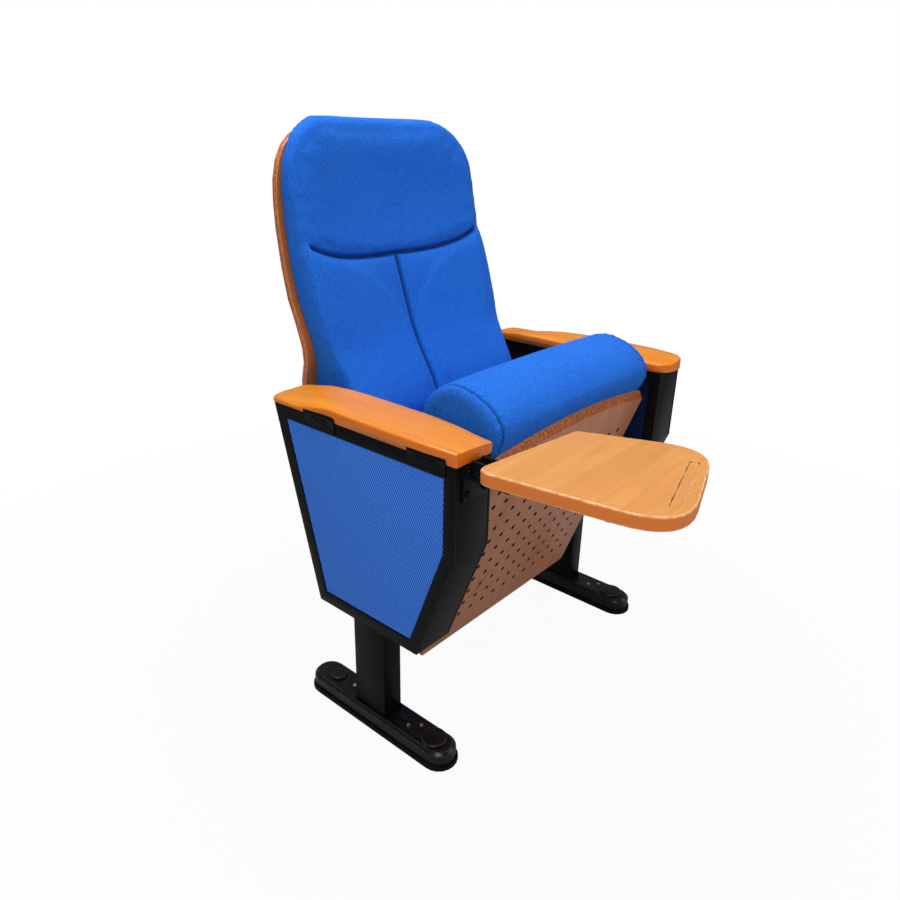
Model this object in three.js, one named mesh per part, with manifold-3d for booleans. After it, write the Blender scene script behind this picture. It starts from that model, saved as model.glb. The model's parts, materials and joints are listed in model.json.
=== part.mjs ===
// Tip-up auditorium seat with a folding writing tablet.
// Two floor stands carry side boxes and armrests. A dished plywood back with a cushion is fixed
// between them, the seat tips up on two side pins, and the tablet hangs on an arm at the sitter's
// right. Millimetres, +Z up. The sitter faces -Y, so the sitter's right is -X.
import * as THREE from 'three';
import { mergeVertices } from 'three/addons/utils/BufferGeometryUtils.js';
import Module from 'manifold-3d';

const wasm = await Module();
wasm.setup();

// Clearances and drawing fineness
const gap = 0.3; // between pieces that touch
const overrun = 6; // how far a cutting tool passes the face that it cuts
const roundSides = 16; // sides of a turned piece
const pivotSides = 32; // sides of a large turned piece
const smallSides = 8; // sides of a small screw
const cornerSteps = 4; // steps of a rounded corner
const edgeMiddleShare = 1 / 3; // of a rounded edge's size, where the middle point of its section lies
const mergeDistance = 0.0001; // points closer than this are one

// Stands
const standSpacing = 601; // between the middle planes of the two stands
const boxThickness = 78.5;
const boxTopHeight = 574;
const boxBottomHeight = 229;
const boxKneeHeight = 429;
const boxFrontY = -154;
const boxKneeBottomY = -81;
const boxRearBottomY = 150;
const boxRearTopY = 241;
const coverThickness = 4;
const trimThickness = 5;
const trimBand = 22;
const sidePanelThickness = 4;
const sidePanelRecess = 1;
const sidePanelBevel = 1.6;

// Feet
const footFrontY = -130;
const footRearY = 216;
const footWidth = 66;
const footPlateThickness = 8;
const footCoverInset = 3.5;
const footCoverHeight = 34;
const footCoverShoulder = 6;
const anchorPocketRadius = 12;
const anchorShankRadius = 5;
const frontCapRadius = 23;
const rearCapRadius = 15;
const capHeight = 4.5;
const capDome = 1.6;
const capY = -85;
const rearCapY = 158;

// Posts
const postWidth = 43;
const postFrontY = 12;
const postDepth = 75;
const postWall = 3;
const postCorner = 5;

// Seat pivot
const pivotY = -13;
const pivotHeight = 326;
const tipUpAngle = 70.5; // degrees from a level seat to the tipped-up seat
const pinRadius = 10;
const pinHeadRadius = 15;
const pinHeadThickness = 4;
const bushWall = 4;
const bushFlange = 3;
const bushClearance = 0.35;
const pivotPlateThickness = 6;
const pivotPlateFrontReach = 46;
const pivotPlateRise = 26;
const pivotPlateDrop = 60;
const pinHoleClearance = 4;

// Seat stop inside each side box
const camThickness = 8;
const camHubRadius = 17;
const stopClearance = 1.2; // between the rubber stop and the moving cam
const camToothReach = 34;
const camToothWidth = 12;
const seatTravel = 64; // degrees from tipped up to sitting
const stopBlockThickness = 7;
const stopFaceReach = 9; // how far each end of the stop block stands beside the tooth's path
const stopSteps = 8;
const toothRestAngle = -75; // degrees from straight down, tipped up
const springWire = 2.4;
const springRadius = 15.5;
const springTurns = 5;
const springSides = 5;
const springStepsPerTurn = 8;

// Seat, drawn level with the pivot at its origin
const seatSideGap = 28.75; // from each side of the seat to the box beside it
const shellThickness = 12;
const shellUnderDrop = 48.5;
const shellRearY = 209;
const shellFrontY = -229;
const shellFrontArch = 22;
const shellEdgeLean = 13;
const shellCorner = 10;
const archSteps = 10;
const holeRadius = 4.9;
const holeSides = 8;
const holeColumns = 12;
const holeRows = 11;
const holePitchX = 33.9;
const holePitchY = 31.2;
const holeRearMargin = 67;
const panThickness = 3;
const panInset = 8;
const panFrontMargin = 46;
const panRearMargin = 14;
const sideArmThickness = 5;
const sideArmHub = 24;
const sideArmFrontReach = 110;
const sideArmRearReach = 120;
const sideArmEndHeight = 30;

// Seat cushion
const noseCentreY = -238;
const noseCentreZ = 29.5;
const noseDepth = 76;
const noseHalfHeight = 79;
const noseFullness = 2.35;
const noseSteps = 12;
const cushionRearZ = 44;
const cushionRearY = 205;
const cushionRearRound = 26;
const cushionSag = 6;
const cushionCrown = 3;
const cushionEndInset = 6;
const cushionEndRound = 9;
const topSteps = 8;

// Back
const backShellThickness = 12;
const backSideGap = 17.25; // from each side of the shell to the box beside it
const backDish = 40;
const shellTopDrop = 14;
const shellBottomDrop = 13;
const backShellCorner = 120;
const backTopHeight = 1010;
const backBottomHeight = 417;
const backSideMargin = 6.5; // of the cushion inside the shell's edge
const backLowerMargin = 21;
const backEdgeRound = 24;
const backCorner = 104;
const backSideTuck = 8;
const lowerWidthTop = 680;
const lowerWidthBottom = 560;
const seamHeight = 777;
const seamRise = 38;
const seamRisePower = 2.2;
const seamFade = 110;
const seamDepth = 9;
const seamHalfWidth = 10;
// Rear line of the shell and front line of the cushion at the middle: shares of the cushion's
// height, and depths
const shellRowShares = [
  -0.02192, 0.13997, 0.27319, 0.33052, 0.37268, 0.45363,
  0.50759, 0.59865, 0.70658, 0.79258, 0.98314,
];
const shellDepths = [341, 334, 329, 321, 323, 340, 354, 366, 375, 377, 379];
const cushionRowShares = [
  0, 0.03879, 0.10624, 0.1973, 0.27993, 0.36425,
  0.46374, 0.59359, 0.71164, 0.81619, 0.90219, 1,
];
const cushionDepths = [196, 178, 166, 176, 208, 240, 261, 286, 313, 325, 331, 337];
const bracketThickness = 5;
const bracketTopDrop = 22; // under the side box's top
const bracketBottomHeight = 432;
const bracketFrontY = 130;
const bracketWing = 46;

// Armrests
const armThickness = 16.7;
const armRearY = 250;
const armFrontOverhang = 1;
const fixedArmTip = 12;
const armEdge = 3.5;
const armCrown = 1.2;
// Height of the wood's top above its ends, and the bulge of its outer and inner sides, as [depth, size]
const armRise = [
  [-166, 0], [-150, 0.5], [-115, 4], [-60, 6], [90, 6], [150, 4], [196, -4], [222, -7.5], [250, -8],
];
const armOuterBulge = [
  [-166, 0], [-140, 2], [-100, 6], [-30, 7], [50, 6], [108, 0], [165, 5], [215, 2], [250, 0],
];
const armInnerBulge = [[-166, 0], [-140, 3], [-100, 7], [-30, 9], [60, 10], [150, 9], [205, 3], [250, 0]];
const armSkew = 36; // how far the top's step runs back from the outer to the inner side
const lidCorner = 4;
const fixedArmCorner = 30;
const armRearCorner = 12;
const armPlateThickness = 4;
const armStations = 22;
const lidHingeRadius = 4.2;
const lidHingeLength = 71;
const lidHingePin = 1.8;
const lidHingeYs = [-101, 126];
const lidLeafThickness = 2;
const lidLeafWidth = 24;
const lidLeafDrop = 18;
const lidKnuckleShare = 0.5;

// Writing tablet
const tabletWidth = 275;
const tabletLength = 268.4;
const tabletRearY = -209.5;
const tabletOuterOverhang = 34; // past the box's outer face
const tabletTopHeight = 601.4;
const tabletThickness = 19.4;
const tabletEdge = 3;
const tabletRadii = [20, 70, 67, 10];
const tabletCornerSteps = 8;
const tabletCornerShares = [[0, 0], [0.1405, 1], [1, 0.732], [0.7485, 0.0823]];
const flipAxisDrop = 33.4; // from the tablet's top to the arm's middle
const swingPinY = -194;
const armRodRadius = 8;
const armRodFrontY = -369;
const eyeRadius = 12;
const eyeThickness = 17;
const swingPinRadius = 5;
const swingPinHead = 8;
const swingPinHeadHeight = 3;
const earThickness = 5;
const earReach = 11;
const baseWidth = 56;
const baseThickness = 5;
const baseDrop = 52;
const baseTopDrop = 2;
const tongueReach = 30;
const tongueThickness = 5;
const leafThickness = 3.7;
const leafWidth = 62;
const leafRearY = -236;
const leafFrontY = -360;
const knuckleWall = 3.2;
const knuckleLength = 26;
const collarLength = 7;
const collarRadius = 12;
const grooveWidth = 13;
const grooveDepth = 3;
const grooveLength = 150;
const groovePlaceShares = [0.5315, 0.7936];
const grooveTurn = 15; // degrees

// Shares chosen by hand
const dishShares = [-1.12, -1, -0.75, -0.5, -0.25, 0, 0.25, 0.5, 0.75, 1, 1.12];
const frontShares = [1, 0.965, 0.87, 0.7, 0.48, 0.24, 0.08, 0.035, 0, -0.035, -0.08, -0.24, -0.48, -0.7,
  -0.87, -0.965, -1];
const rearShares = [-0.7, 0, 0.7];
const rowsBelowShares = [1, 0.978, 0.939, 0.883, 0.806, 0.711, 0.611, 0.511, 0.411, 0.311, 0.211, 0.133,
  0.078, 0.039, 0.019];
const rowsAboveShares = [0, 0.03, 0.06, 0.12, 0.223, 0.386, 0.55, 0.687, 0.798, 0.876, 0.931, 0.97,
  0.991, 1];

const material = (colour, roughness, metalness) => new THREE.MeshStandardMaterial({
  color: colour, roughness, metalness,
});
const blackSteel = material(0x121315, 0.45, 0.6);
const blackPlastic = material(0x141518, 0.5, 0);
const zincSteel = material(0xa9adb2, 0.35, 0.9);
const rubber = material(0x17171a, 0.9, 0);
const nylon = material(0xd6d4cb, 0.6, 0);
const armWood = material(0xe08a45, 0.4, 0);
const tabletWood = material(0xeba45c, 0.4, 0);
const plyWood = material(0x8c6450, 0.55, 0);
const backWood = material(0xc0622a, 0.45, 0);
const blueCloth = material(0x2160c8, 0.9, 0);
const panelCloth = material(0x2d5fbe, 0.9, 0);

const seatAssembly = new THREE.Group();
const fixedPieces = new THREE.Group();

/** Adds a named piece to a group. */
function addPiece(group, name, finish, geometry) {
  const mesh = new THREE.Mesh(geometry, finish);
  mesh.name = name;
  group.add(mesh);
}

/** Merges shared vertices and turns a geometry into a solid. */
function solidOf(geometry) {
  const bare = new THREE.BufferGeometry();
  bare.setAttribute('position', geometry.getAttribute('position').clone());
  if (geometry.index) bare.setIndex(geometry.index.clone());
  const merged = mergeVertices(bare, mergeDistance);
  return new wasm.Manifold(new wasm.Mesh({
    numProp: 3,
    vertProperties: Float32Array.from(merged.getAttribute('position').array),
    triVerts: Uint32Array.from(merged.index.array),
  }));
}

/** Gives a solid back as a geometry. */
function geometryOf(solid) {
  const mesh = solid.getMesh();
  const geometry = new THREE.BufferGeometry();
  geometry.setAttribute('position', new THREE.Float32BufferAttribute(mesh.vertProperties, 3));
  geometry.setIndex(Array.from(mesh.triVerts));
  return geometry;
}

function cut(geometry, tools) {
  return geometryOf(tools.reduce((solid, tool) => solid.subtract(solidOf(tool)), solidOf(geometry)));
}

function join(pieces) {
  return geometryOf(pieces.map(solidOf).reduce((whole, piece) => whole.add(piece)));
}

function keepInside(geometry, mould) {
  return geometryOf(solidOf(geometry).intersect(solidOf(mould)));
}

const point = (a, b) => new THREE.Vector2(a, b);
const acrossX = new THREE.Matrix4().makeBasis(
  new THREE.Vector3(0, 1, 0), new THREE.Vector3(0, 0, 1), new THREE.Vector3(1, 0, 0));
const acrossY = new THREE.Matrix4().makeBasis(
  new THREE.Vector3(1, 0, 0), new THREE.Vector3(0, 0, 1), new THREE.Vector3(0, -1, 0));

/** A plate with its outline in Y and Z, from one X to another. */
function plateAcross(outline, fromX, toX, openings = []) {
  const shape = new THREE.Shape(outline);
  shape.holes = openings.map((opening) => new THREE.Path(opening));
  const low = Math.min(fromX, toX);
  const geometry = new THREE.ExtrudeGeometry(shape, { depth: Math.abs(toX - fromX), bevelEnabled: false });
  return geometry.applyMatrix4(acrossX).translate(low, 0, 0);
}

/** A plate with its outline in X and Z, from one Y to another. */
function plateDeep(outline, fromY, toY) {
  const depth = Math.abs(toY - fromY);
  const geometry = new THREE.ExtrudeGeometry(new THREE.Shape(outline), { depth, bevelEnabled: false });
  return geometry.applyMatrix4(acrossY).translate(0, Math.max(fromY, toY), 0);
}

/** A plate with its outline in X and Y, from one height to another. */
function plateUp(outline, fromZ, toZ, openings = []) {
  const shape = new THREE.Shape(outline);
  shape.holes = openings.map((opening) => new THREE.Path(opening));
  const geometry = new THREE.ExtrudeGeometry(shape, { depth: toZ - fromZ, bevelEnabled: false });
  return geometry.translate(0, 0, fromZ);
}

function block(fromX, toX, fromY, toY, fromZ, toZ) {
  return new THREE.BoxGeometry(Math.abs(toX - fromX), Math.abs(toY - fromY), Math.abs(toZ - fromZ))
    .translate((fromX + toX) / 2, (fromY + toY) / 2, (fromZ + toZ) / 2);
}

/** A round bar along X, Y or Z. */
function bar(axis, radius, from, to, a, b, sides = roundSides) {
  const length = Math.abs(to - from);
  const middle = (from + to) / 2;
  const geometry = new THREE.CylinderGeometry(radius, radius, length, sides);
  if (axis === 'x') return geometry.rotateZ(Math.PI / 2).translate(middle, a, b);
  if (axis === 'y') return geometry.translate(a, middle, b);
  return geometry.rotateX(Math.PI / 2).translate(a, b, middle);
}

/** A rectangle with rounded corners. */
function roundedRectangle(low, high, radius, steps = cornerSteps) {
  const corners = [
    [high.x - radius, high.y - radius, 0],
    [low.x + radius, high.y - radius, Math.PI / 2],
    [low.x + radius, low.y + radius, Math.PI],
    [high.x - radius, low.y + radius, Math.PI * 1.5],
  ];
  return corners.flatMap(([x, y, start]) => Array.from({ length: steps + 1 }, (_, i) => {
    const angle = start + (Math.PI / 2) * (i / steps);
    return point(x + radius * Math.cos(angle), y + radius * Math.sin(angle));
  }));
}

/** A polygon with every corner rounded by its own radius. */
function roundedPolygon(corners, radii, steps = cornerSteps) {
  return corners.flatMap((corner, i) => {
    const before = corners[(i + corners.length - 1) % corners.length];
    const after = corners[(i + 1) % corners.length];
    const back = before.clone().sub(corner).normalize();
    const ahead = after.clone().sub(corner).normalize();
    const half = Math.acos(THREE.MathUtils.clamp(back.dot(ahead), -1, 1)) / 2;
    const reach = radii[i] / Math.tan(half);
    const start = corner.clone().addScaledVector(back, reach);
    const end = corner.clone().addScaledVector(ahead, reach);
    const curve = new THREE.QuadraticBezierCurve(start, corner, end);
    return curve.getPoints(steps);
  });
}

/** The line of one edge of an outline, moved inwards. Outlines run anticlockwise. */
function edgeLine(outline, index, inset) {
  const start = outline[index];
  const end = outline[(index + 1) % outline.length];
  const direction = end.clone().sub(start).normalize();
  const inward = point(-direction.y, direction.x);
  return { start: start.clone().addScaledVector(inward, inset), direction };
}

function meet(lineA, lineB) {
  const between = lineB.start.clone().sub(lineA.start);
  const share = between.cross(lineB.direction) / lineA.direction.cross(lineB.direction);
  return lineA.start.clone().addScaledVector(lineA.direction, share);
}

/** A convex outline with every edge moved inwards. */
function insetOutline(outline, inset) {
  return outline.map((_, i) => meet(
    edgeLine(outline, (i + outline.length - 1) % outline.length, inset), edgeLine(outline, i, inset)));
}

/** Joins rings of points into one closed skin. The caps are cut on the plane that flatten gives. */
function loft(rings, flatten) {
  const count = rings[0].length;
  const positions = rings.flat().flatMap((corner) => [corner.x, corner.y, corner.z]);
  const faces = [];
  for (let ring = 0; ring + 1 < rings.length; ring += 1) {
    for (let i = 0; i < count; i += 1) {
      const a = ring * count + i;
      const b = ring * count + ((i + 1) % count);
      faces.push([a, b, b + count], [a, b + count, a + count]);
    }
  }
  const addCap = (ring, reverse) => {
    const flat = rings[ring].map(flatten);
    const turn = Math.sign(THREE.ShapeUtils.area(flat));
    THREE.ShapeUtils.triangulateShape(flat, []).forEach(([a, b, c]) => {
      const same = Math.sign(THREE.ShapeUtils.area([flat[a], flat[b], flat[c]])) === turn;
      const face = same === reverse ? [a, c, b] : [a, b, c];
      faces.push(face.map((i) => i + ring * count));
    });
  };
  addCap(0, true);
  addCap(rings.length - 1, false);
  const geometry = new THREE.BufferGeometry();
  geometry.setAttribute('position', new THREE.Float32BufferAttribute(positions, 3));
  const corner = (i) => new THREE.Vector3().fromArray(positions, i * 3);
  const volume = faces.reduce((sum, [a, b, c]) => sum + corner(a).dot(corner(b).cross(corner(c))), 0);
  geometry.setIndex(faces.flatMap((face) => (volume < 0 ? [face[0], face[2], face[1]] : face)));
  return geometry;
}

const levelRing = (outline, z) => outline.map((p) => new THREE.Vector3(p.x, p.y, z));
const uprightRing = (outline, x) => outline.map((p) => new THREE.Vector3(x, p.x, p.y));
const seenFromTop = (v) => point(v.x, v.y);
const seenFromSide = (v) => point(v.y, v.z);
const seenFromEnd = (v) => point(v.x, v.y);

/** A value read from a table of [height, value] rows, straight between the rows. */
function readTable(rows, height) {
  const index = Math.max(1, rows.findIndex(([z]) => z >= height));
  const last = rows.length - 1;
  const [low, high] = height > rows[last][0]
    ? [rows[last - 1], rows[last]] : [rows[index - 1], rows[index]];
  return THREE.MathUtils.mapLinear(height, low[0], high[0], low[1], high[1]);
}

// Places that several pieces share
const sides = [
  { name: 'right', sign: -1 },
  { name: 'left', sign: 1 },
];
const boxOutline = [
  point(boxRearTopY, boxTopHeight), point(boxFrontY, boxTopHeight), point(boxFrontY, boxKneeHeight),
  point(boxKneeBottomY, boxBottomHeight), point(boxRearBottomY, boxBottomHeight),
];
const [topEdge, frontEdge, kneeEdge, bottomEdge, rearEdge] = boxOutline.keys();
const innerFaceX = standSpacing / 2 - boxThickness / 2;
const outerFaceX = standSpacing / 2 + boxThickness / 2;
const postInnerX = standSpacing / 2 - postWidth / 2;
const postTopHeight = pivotHeight + pivotPlateRise;
const seatWidth = (innerFaceX - seatSideGap) * 2;
const backShellTop = backTopHeight - shellTopDrop;
const backShellBottom = backBottomHeight - shellBottomDrop;
const backLine = (rowShares, depths) => rowShares.map((share, i) => [
  THREE.MathUtils.lerp(backBottomHeight, backTopHeight, share), depths[i],
]);
const shellLine = backLine(shellRowShares, shellDepths);
const cushionLine = backLine(cushionRowShares, cushionDepths);
const backShellWidth = (innerFaceX - backSideGap) * 2;
const backWidth = backShellWidth - backSideMargin * 2;
const backLowerWidth = backShellWidth - backLowerMargin * 2;
const plateOuterX = postInnerX - gap;
const plateInnerX = plateOuterX - pivotPlateThickness;
const bushOuterRadius = pinRadius + bushClearance + bushWall;
const bushEndX = plateOuterX + gap + bushFlange;
const camStartX = bushEndX + gap;
const camEndX = camStartX + camThickness;
const springEndX = camEndX + gap + springWire + springTurns * (springWire + gap * 2);
const sideArmOuterX = seatWidth / 2 + gap + sideArmThickness;
const panFrontY = shellFrontY + panFrontMargin;
const panRearY = shellRearY - panRearMargin;
const shellTopZ = -shellUnderDrop + shellThickness;
const shellMiddleX = seatWidth / 2;
const boxLine = (edge, inset) => edgeLine(boxOutline, edge, inset);

/** A foot outline with round ends. */
function footOutline(inset) {
  const radius = footWidth / 2 - inset;
  const low = point(-radius, footFrontY + inset);
  const high = point(radius, footRearY - inset);
  return roundedRectangle(low, high, radius, cornerSteps + 1);
}

/** The piece for the sitter's left is drawn with its inner side at +X, so it is turned over in X. */
function mirrored(geometry, sign) {
  if (sign < 0) return geometry;
  const turned = geometry.scale(-1, 1, 1);
  const order = Array.from(turned.index.array);
  turned.setIndex(order.map((_, i) => order[i - (i % 3) + [0, 2, 1][i % 3]]));
  return turned;
}

function moved(geometry, sign) {
  return geometry.translate((sign * standSpacing) / 2, 0, 0);
}

function buildFoot({ name, sign }) {
  const anchorYs = [capY, rearCapY];
  const capRadii = [frontCapRadius, rearCapRadius];
  const plateTop = footPlateThickness;
  const coverBottom = plateTop + gap;
  const plate = plateUp(footOutline(0), 0, plateTop);
  const boltHoles = anchorYs.map((y) => (
    bar('z', anchorShankRadius + gap, -overrun, plateTop + overrun, 0, y)));
  addPiece(fixedPieces, `${name}_foot_plate`, blackSteel, moved(cut(plate, boltHoles), sign));

  const shoulder = footCoverHeight - footCoverShoulder;
  const cover = loft([
    levelRing(footOutline(footCoverInset), coverBottom), levelRing(footOutline(footCoverInset), shoulder),
    levelRing(footOutline(footCoverInset + footCoverShoulder), footCoverHeight),
  ], seenFromTop);
  const pockets = anchorYs.map((y) => (
    bar('z', anchorPocketRadius, 0, footCoverHeight + overrun, 0, y)));
  const postHole = plateUp(roundedRectangle(
    point(-postWidth / 2 - gap, postFrontY - gap), point(postWidth / 2 + gap, postFrontY + postDepth + gap),
    postCorner), 0, footCoverHeight + overrun);
  addPiece(fixedPieces, `${name}_foot_cover`, blackPlastic,
    moved(cut(cover, [...pockets, postHole]), sign));

  const capBottom = footCoverHeight + gap;
  ['front', 'rear'].forEach((end, i) => {
    const radius = capRadii[i];
    const cap = new THREE.LatheGeometry([
      point(0, capBottom), point(radius, capBottom), point(radius, capBottom + capHeight - capDome),
      point(radius - capDome, capBottom + capHeight), point(0, capBottom + capHeight),
    ], roundSides + cornerSteps).rotateX(Math.PI / 2).translate(0, anchorYs[i], 0);
    addPiece(fixedPieces, `${name}_foot_${end}_cap`, rubber, moved(cap, sign));
  });
}

function buildPost({ name, sign }) {
  const outline = (inset) => roundedRectangle(
    point(-postWidth / 2 + inset, postFrontY + inset),
    point(postWidth / 2 - inset, postFrontY + postDepth - inset), Math.max(postCorner - inset, gap), 2);
  const tube = plateUp(outline(0), footPlateThickness + gap, postTopHeight, [outline(postWall)]);
  addPiece(fixedPieces, `${name}_post`, blackSteel, moved(tube, sign));
}

/** The side box: three covers between two trim frames that each hold a fabric panel. */
function buildBox({ name, sign }) {
  const coverHalf = boxThickness / 2 - trimThickness - gap;
  const wall = coverThickness;
  const covers = {
    front_cover: [
      meet(boxLine(topEdge, 0), boxLine(frontEdge, 0)), meet(boxLine(frontEdge, 0), boxLine(kneeEdge, 0)),
      meet(boxLine(kneeEdge, 0), boxLine(bottomEdge, 0)),
      meet(boxLine(kneeEdge, wall), boxLine(bottomEdge, 0)),
      meet(boxLine(kneeEdge, wall), boxLine(frontEdge, wall)),
      meet(boxLine(frontEdge, wall), boxLine(topEdge, 0)),
    ],
    bottom_cover: [
      meet(boxLine(bottomEdge, 0), boxLine(kneeEdge, wall + gap)),
      meet(boxLine(bottomEdge, 0), boxLine(rearEdge, wall + gap)),
      meet(boxLine(bottomEdge, wall), boxLine(rearEdge, wall + gap)),
      meet(boxLine(bottomEdge, wall), boxLine(kneeEdge, wall + gap)),
    ],
    rear_cover: [
      meet(boxLine(rearEdge, 0), boxLine(bottomEdge, 0)), meet(boxLine(rearEdge, 0), boxLine(topEdge, 0)),
      meet(boxLine(rearEdge, wall), boxLine(topEdge, 0)),
      meet(boxLine(rearEdge, wall), boxLine(bottomEdge, 0)),
    ],
  };
  const postHole = block(-postWidth / 2 - gap, postWidth / 2 + gap, postFrontY - gap,
    postFrontY + postDepth + gap, boxBottomHeight - overrun, boxBottomHeight + wall + overrun);
  Object.entries(covers).forEach(([cover, outline]) => {
    const plain = plateAcross(outline, -coverHalf, coverHalf);
    const shaped = cover === 'bottom_cover' ? cut(plain, [postHole]) : plain;
    addPiece(fixedPieces, `${name}_box_${cover}`, blackSteel, moved(shaped, sign));
  });

  const panelOutline = insetOutline(boxOutline, trimBand);
  ['outer', 'inner'].forEach((face) => {
    const out = face === 'outer' ? sign : -sign;
    const faceX = out * (boxThickness / 2);
    const trim = plateAcross(boxOutline, faceX - out * trimThickness, faceX, [panelOutline]);
    addPiece(fixedPieces, `${name}_box_${face}_trim`, blackSteel, moved(trim, sign));
    const panelFront = faceX - out * sidePanelRecess;
    const ring = (inset, x) => uprightRing(insetOutline(panelOutline, gap + inset), x);
    const panel = loft([
      ring(0, panelFront - out * sidePanelThickness), ring(0, panelFront - out * sidePanelBevel),
      ring(sidePanelBevel, panelFront),
    ], seenFromSide);
    const pinHole = bar('x', pinRadius + pinHoleClearance, faceX - out * (trimThickness + overrun),
      faceX + out * overrun, pivotY, pivotHeight);
    const shaped = face === 'inner' ? cut(panel, [pinHole]) : panel;
    addPiece(fixedPieces, `${name}_box_${face}_panel`, panelCloth, moved(shaped, sign));
  });
}

/** The steel plate on the post that holds the seat's pin, with its bush, bolts and rubber stops. */
function buildPivot({ name, sign }) {
  const plateOuter = sign * plateOuterX;
  const plateInner = sign * plateInnerX;
  const through = [plateInner - sign * overrun, plateOuter + sign * overrun];
  const rearY = postFrontY + postDepth - postCorner;
  const bottomZ = pivotHeight - pivotPlateDrop;
  const outline = roundedRectangle(
    point(pivotY - pivotPlateFrontReach, bottomZ), point(rearY, postTopHeight - gap), postCorner);
  const bushHole = bar('x', bushOuterRadius + gap, ...through, pivotY, pivotHeight, pivotSides);
  addPiece(fixedPieces, `${name}_pivot_plate`, zincSteel,
    cut(plateAcross(outline, plateInner, plateOuter), [bushHole]));

  const bushBore = bar('x', pinRadius + bushClearance, plateInner - sign * overrun,
    sign * (bushEndX + overrun), pivotY, pivotHeight, pivotSides);
  const bush = cut(join([
    bar('x', bushOuterRadius, plateInner, sign * bushEndX, pivotY, pivotHeight, pivotSides),
    bar('x', bushOuterRadius + bushFlange, plateOuter + sign * gap, sign * bushEndX,
      pivotY, pivotHeight, pivotSides),
  ]), [bushBore]);
  addPiece(fixedPieces, `${name}_pivot_bush`, nylon, bush);

  const stopBlock = plateAcross(stopOutline(), plateOuter + sign * gap, sign * camEndX)
    .translate(0, pivotY, pivotHeight);
  addPiece(fixedPieces, `${name}_seat_stop`, rubber, stopBlock);
  addPiece(fixedPieces, `${name}_return_spring`, zincSteel, springCoil(sign));
}

/** The curved rubber block whose two ends stop the cam's tooth, tipped up and sitting. */
function stopOutline() {
  const inner = camToothReach + stopClearance;
  const outer = inner + stopBlockThickness;
  const clear = camToothWidth / 2 + gap;
  const hub = camHubRadius + stopClearance;
  const start = THREE.MathUtils.degToRad(toothRestAngle);
  const end = THREE.MathUtils.degToRad(toothRestAngle + seatTravel);
  // A place at a distance along the tooth's direction and beside it, in Y and Z
  const beside = (angle, reach, aside) => point(
    reach * Math.sin(angle) + aside * Math.cos(angle), -reach * Math.cos(angle) + aside * Math.sin(angle));
  const arc = (reach, from, to) => Array.from({ length: stopSteps + 1 }, (_, i) => (
    beside(THREE.MathUtils.lerp(from, to, i / stopSteps), reach, 0)));
  const faceShare = Math.asin(clear / inner);
  const backShare = Math.asin((clear + stopFaceReach) / outer);
  return [
    ...arc(outer, start - backShare, end + backShare),
    beside(end, hub, clear + stopFaceReach), beside(end, hub, clear),
    ...arc(inner, end + faceShare, start - faceShare),
    beside(start, hub, -clear), beside(start, hub, -clear - stopFaceReach),
  ];
}

/** A round wire wound about the seat's pin, from the cam to the pin's head. */
function springCoil(sign) {
  const steps = springTurns * springStepsPerTurn;
  const pitch = springWire + gap * 2;
  const startX = camEndX + gap + springWire / 2;
  const rings = Array.from({ length: steps + 1 }, (_, step) => {
    const turn = (step / springStepsPerTurn) * Math.PI * 2;
    const outward = new THREE.Vector3(0, Math.cos(turn), Math.sin(turn));
    const middle = new THREE.Vector3(sign * (startX + (pitch * turn) / (Math.PI * 2)), pivotY, pivotHeight)
      .addScaledVector(outward, springRadius);
    return Array.from({ length: springSides }, (__, side) => {
      const angle = (side / springSides) * Math.PI * 2;
      return middle.clone().addScaledVector(outward, (springWire / 2) * Math.cos(angle))
        .add(new THREE.Vector3((springWire / 2) * Math.sin(angle), 0, 0));
    });
  });
  return loft(rings, seenFromEnd);
}

/** The outline of the seat's plywood at its under face, or moved by its leaning front edge. */
function shellOutline(frontMove, grow) {
  const half = shellMiddleX + grow;
  const front = Array.from({ length: archSteps + 1 }, (_, i) => {
    const share = (i / archSteps) * 2 - 1;
    return point(half * share, shellFrontY - grow - frontMove - shellFrontArch * (1 - share * share));
  });
  const rear = roundedRectangle(point(-half, 0), point(half, shellRearY + grow), shellCorner)
    .slice(0, (cornerSteps + 1) * 2);
  return [...front, ...rear];
}

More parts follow.
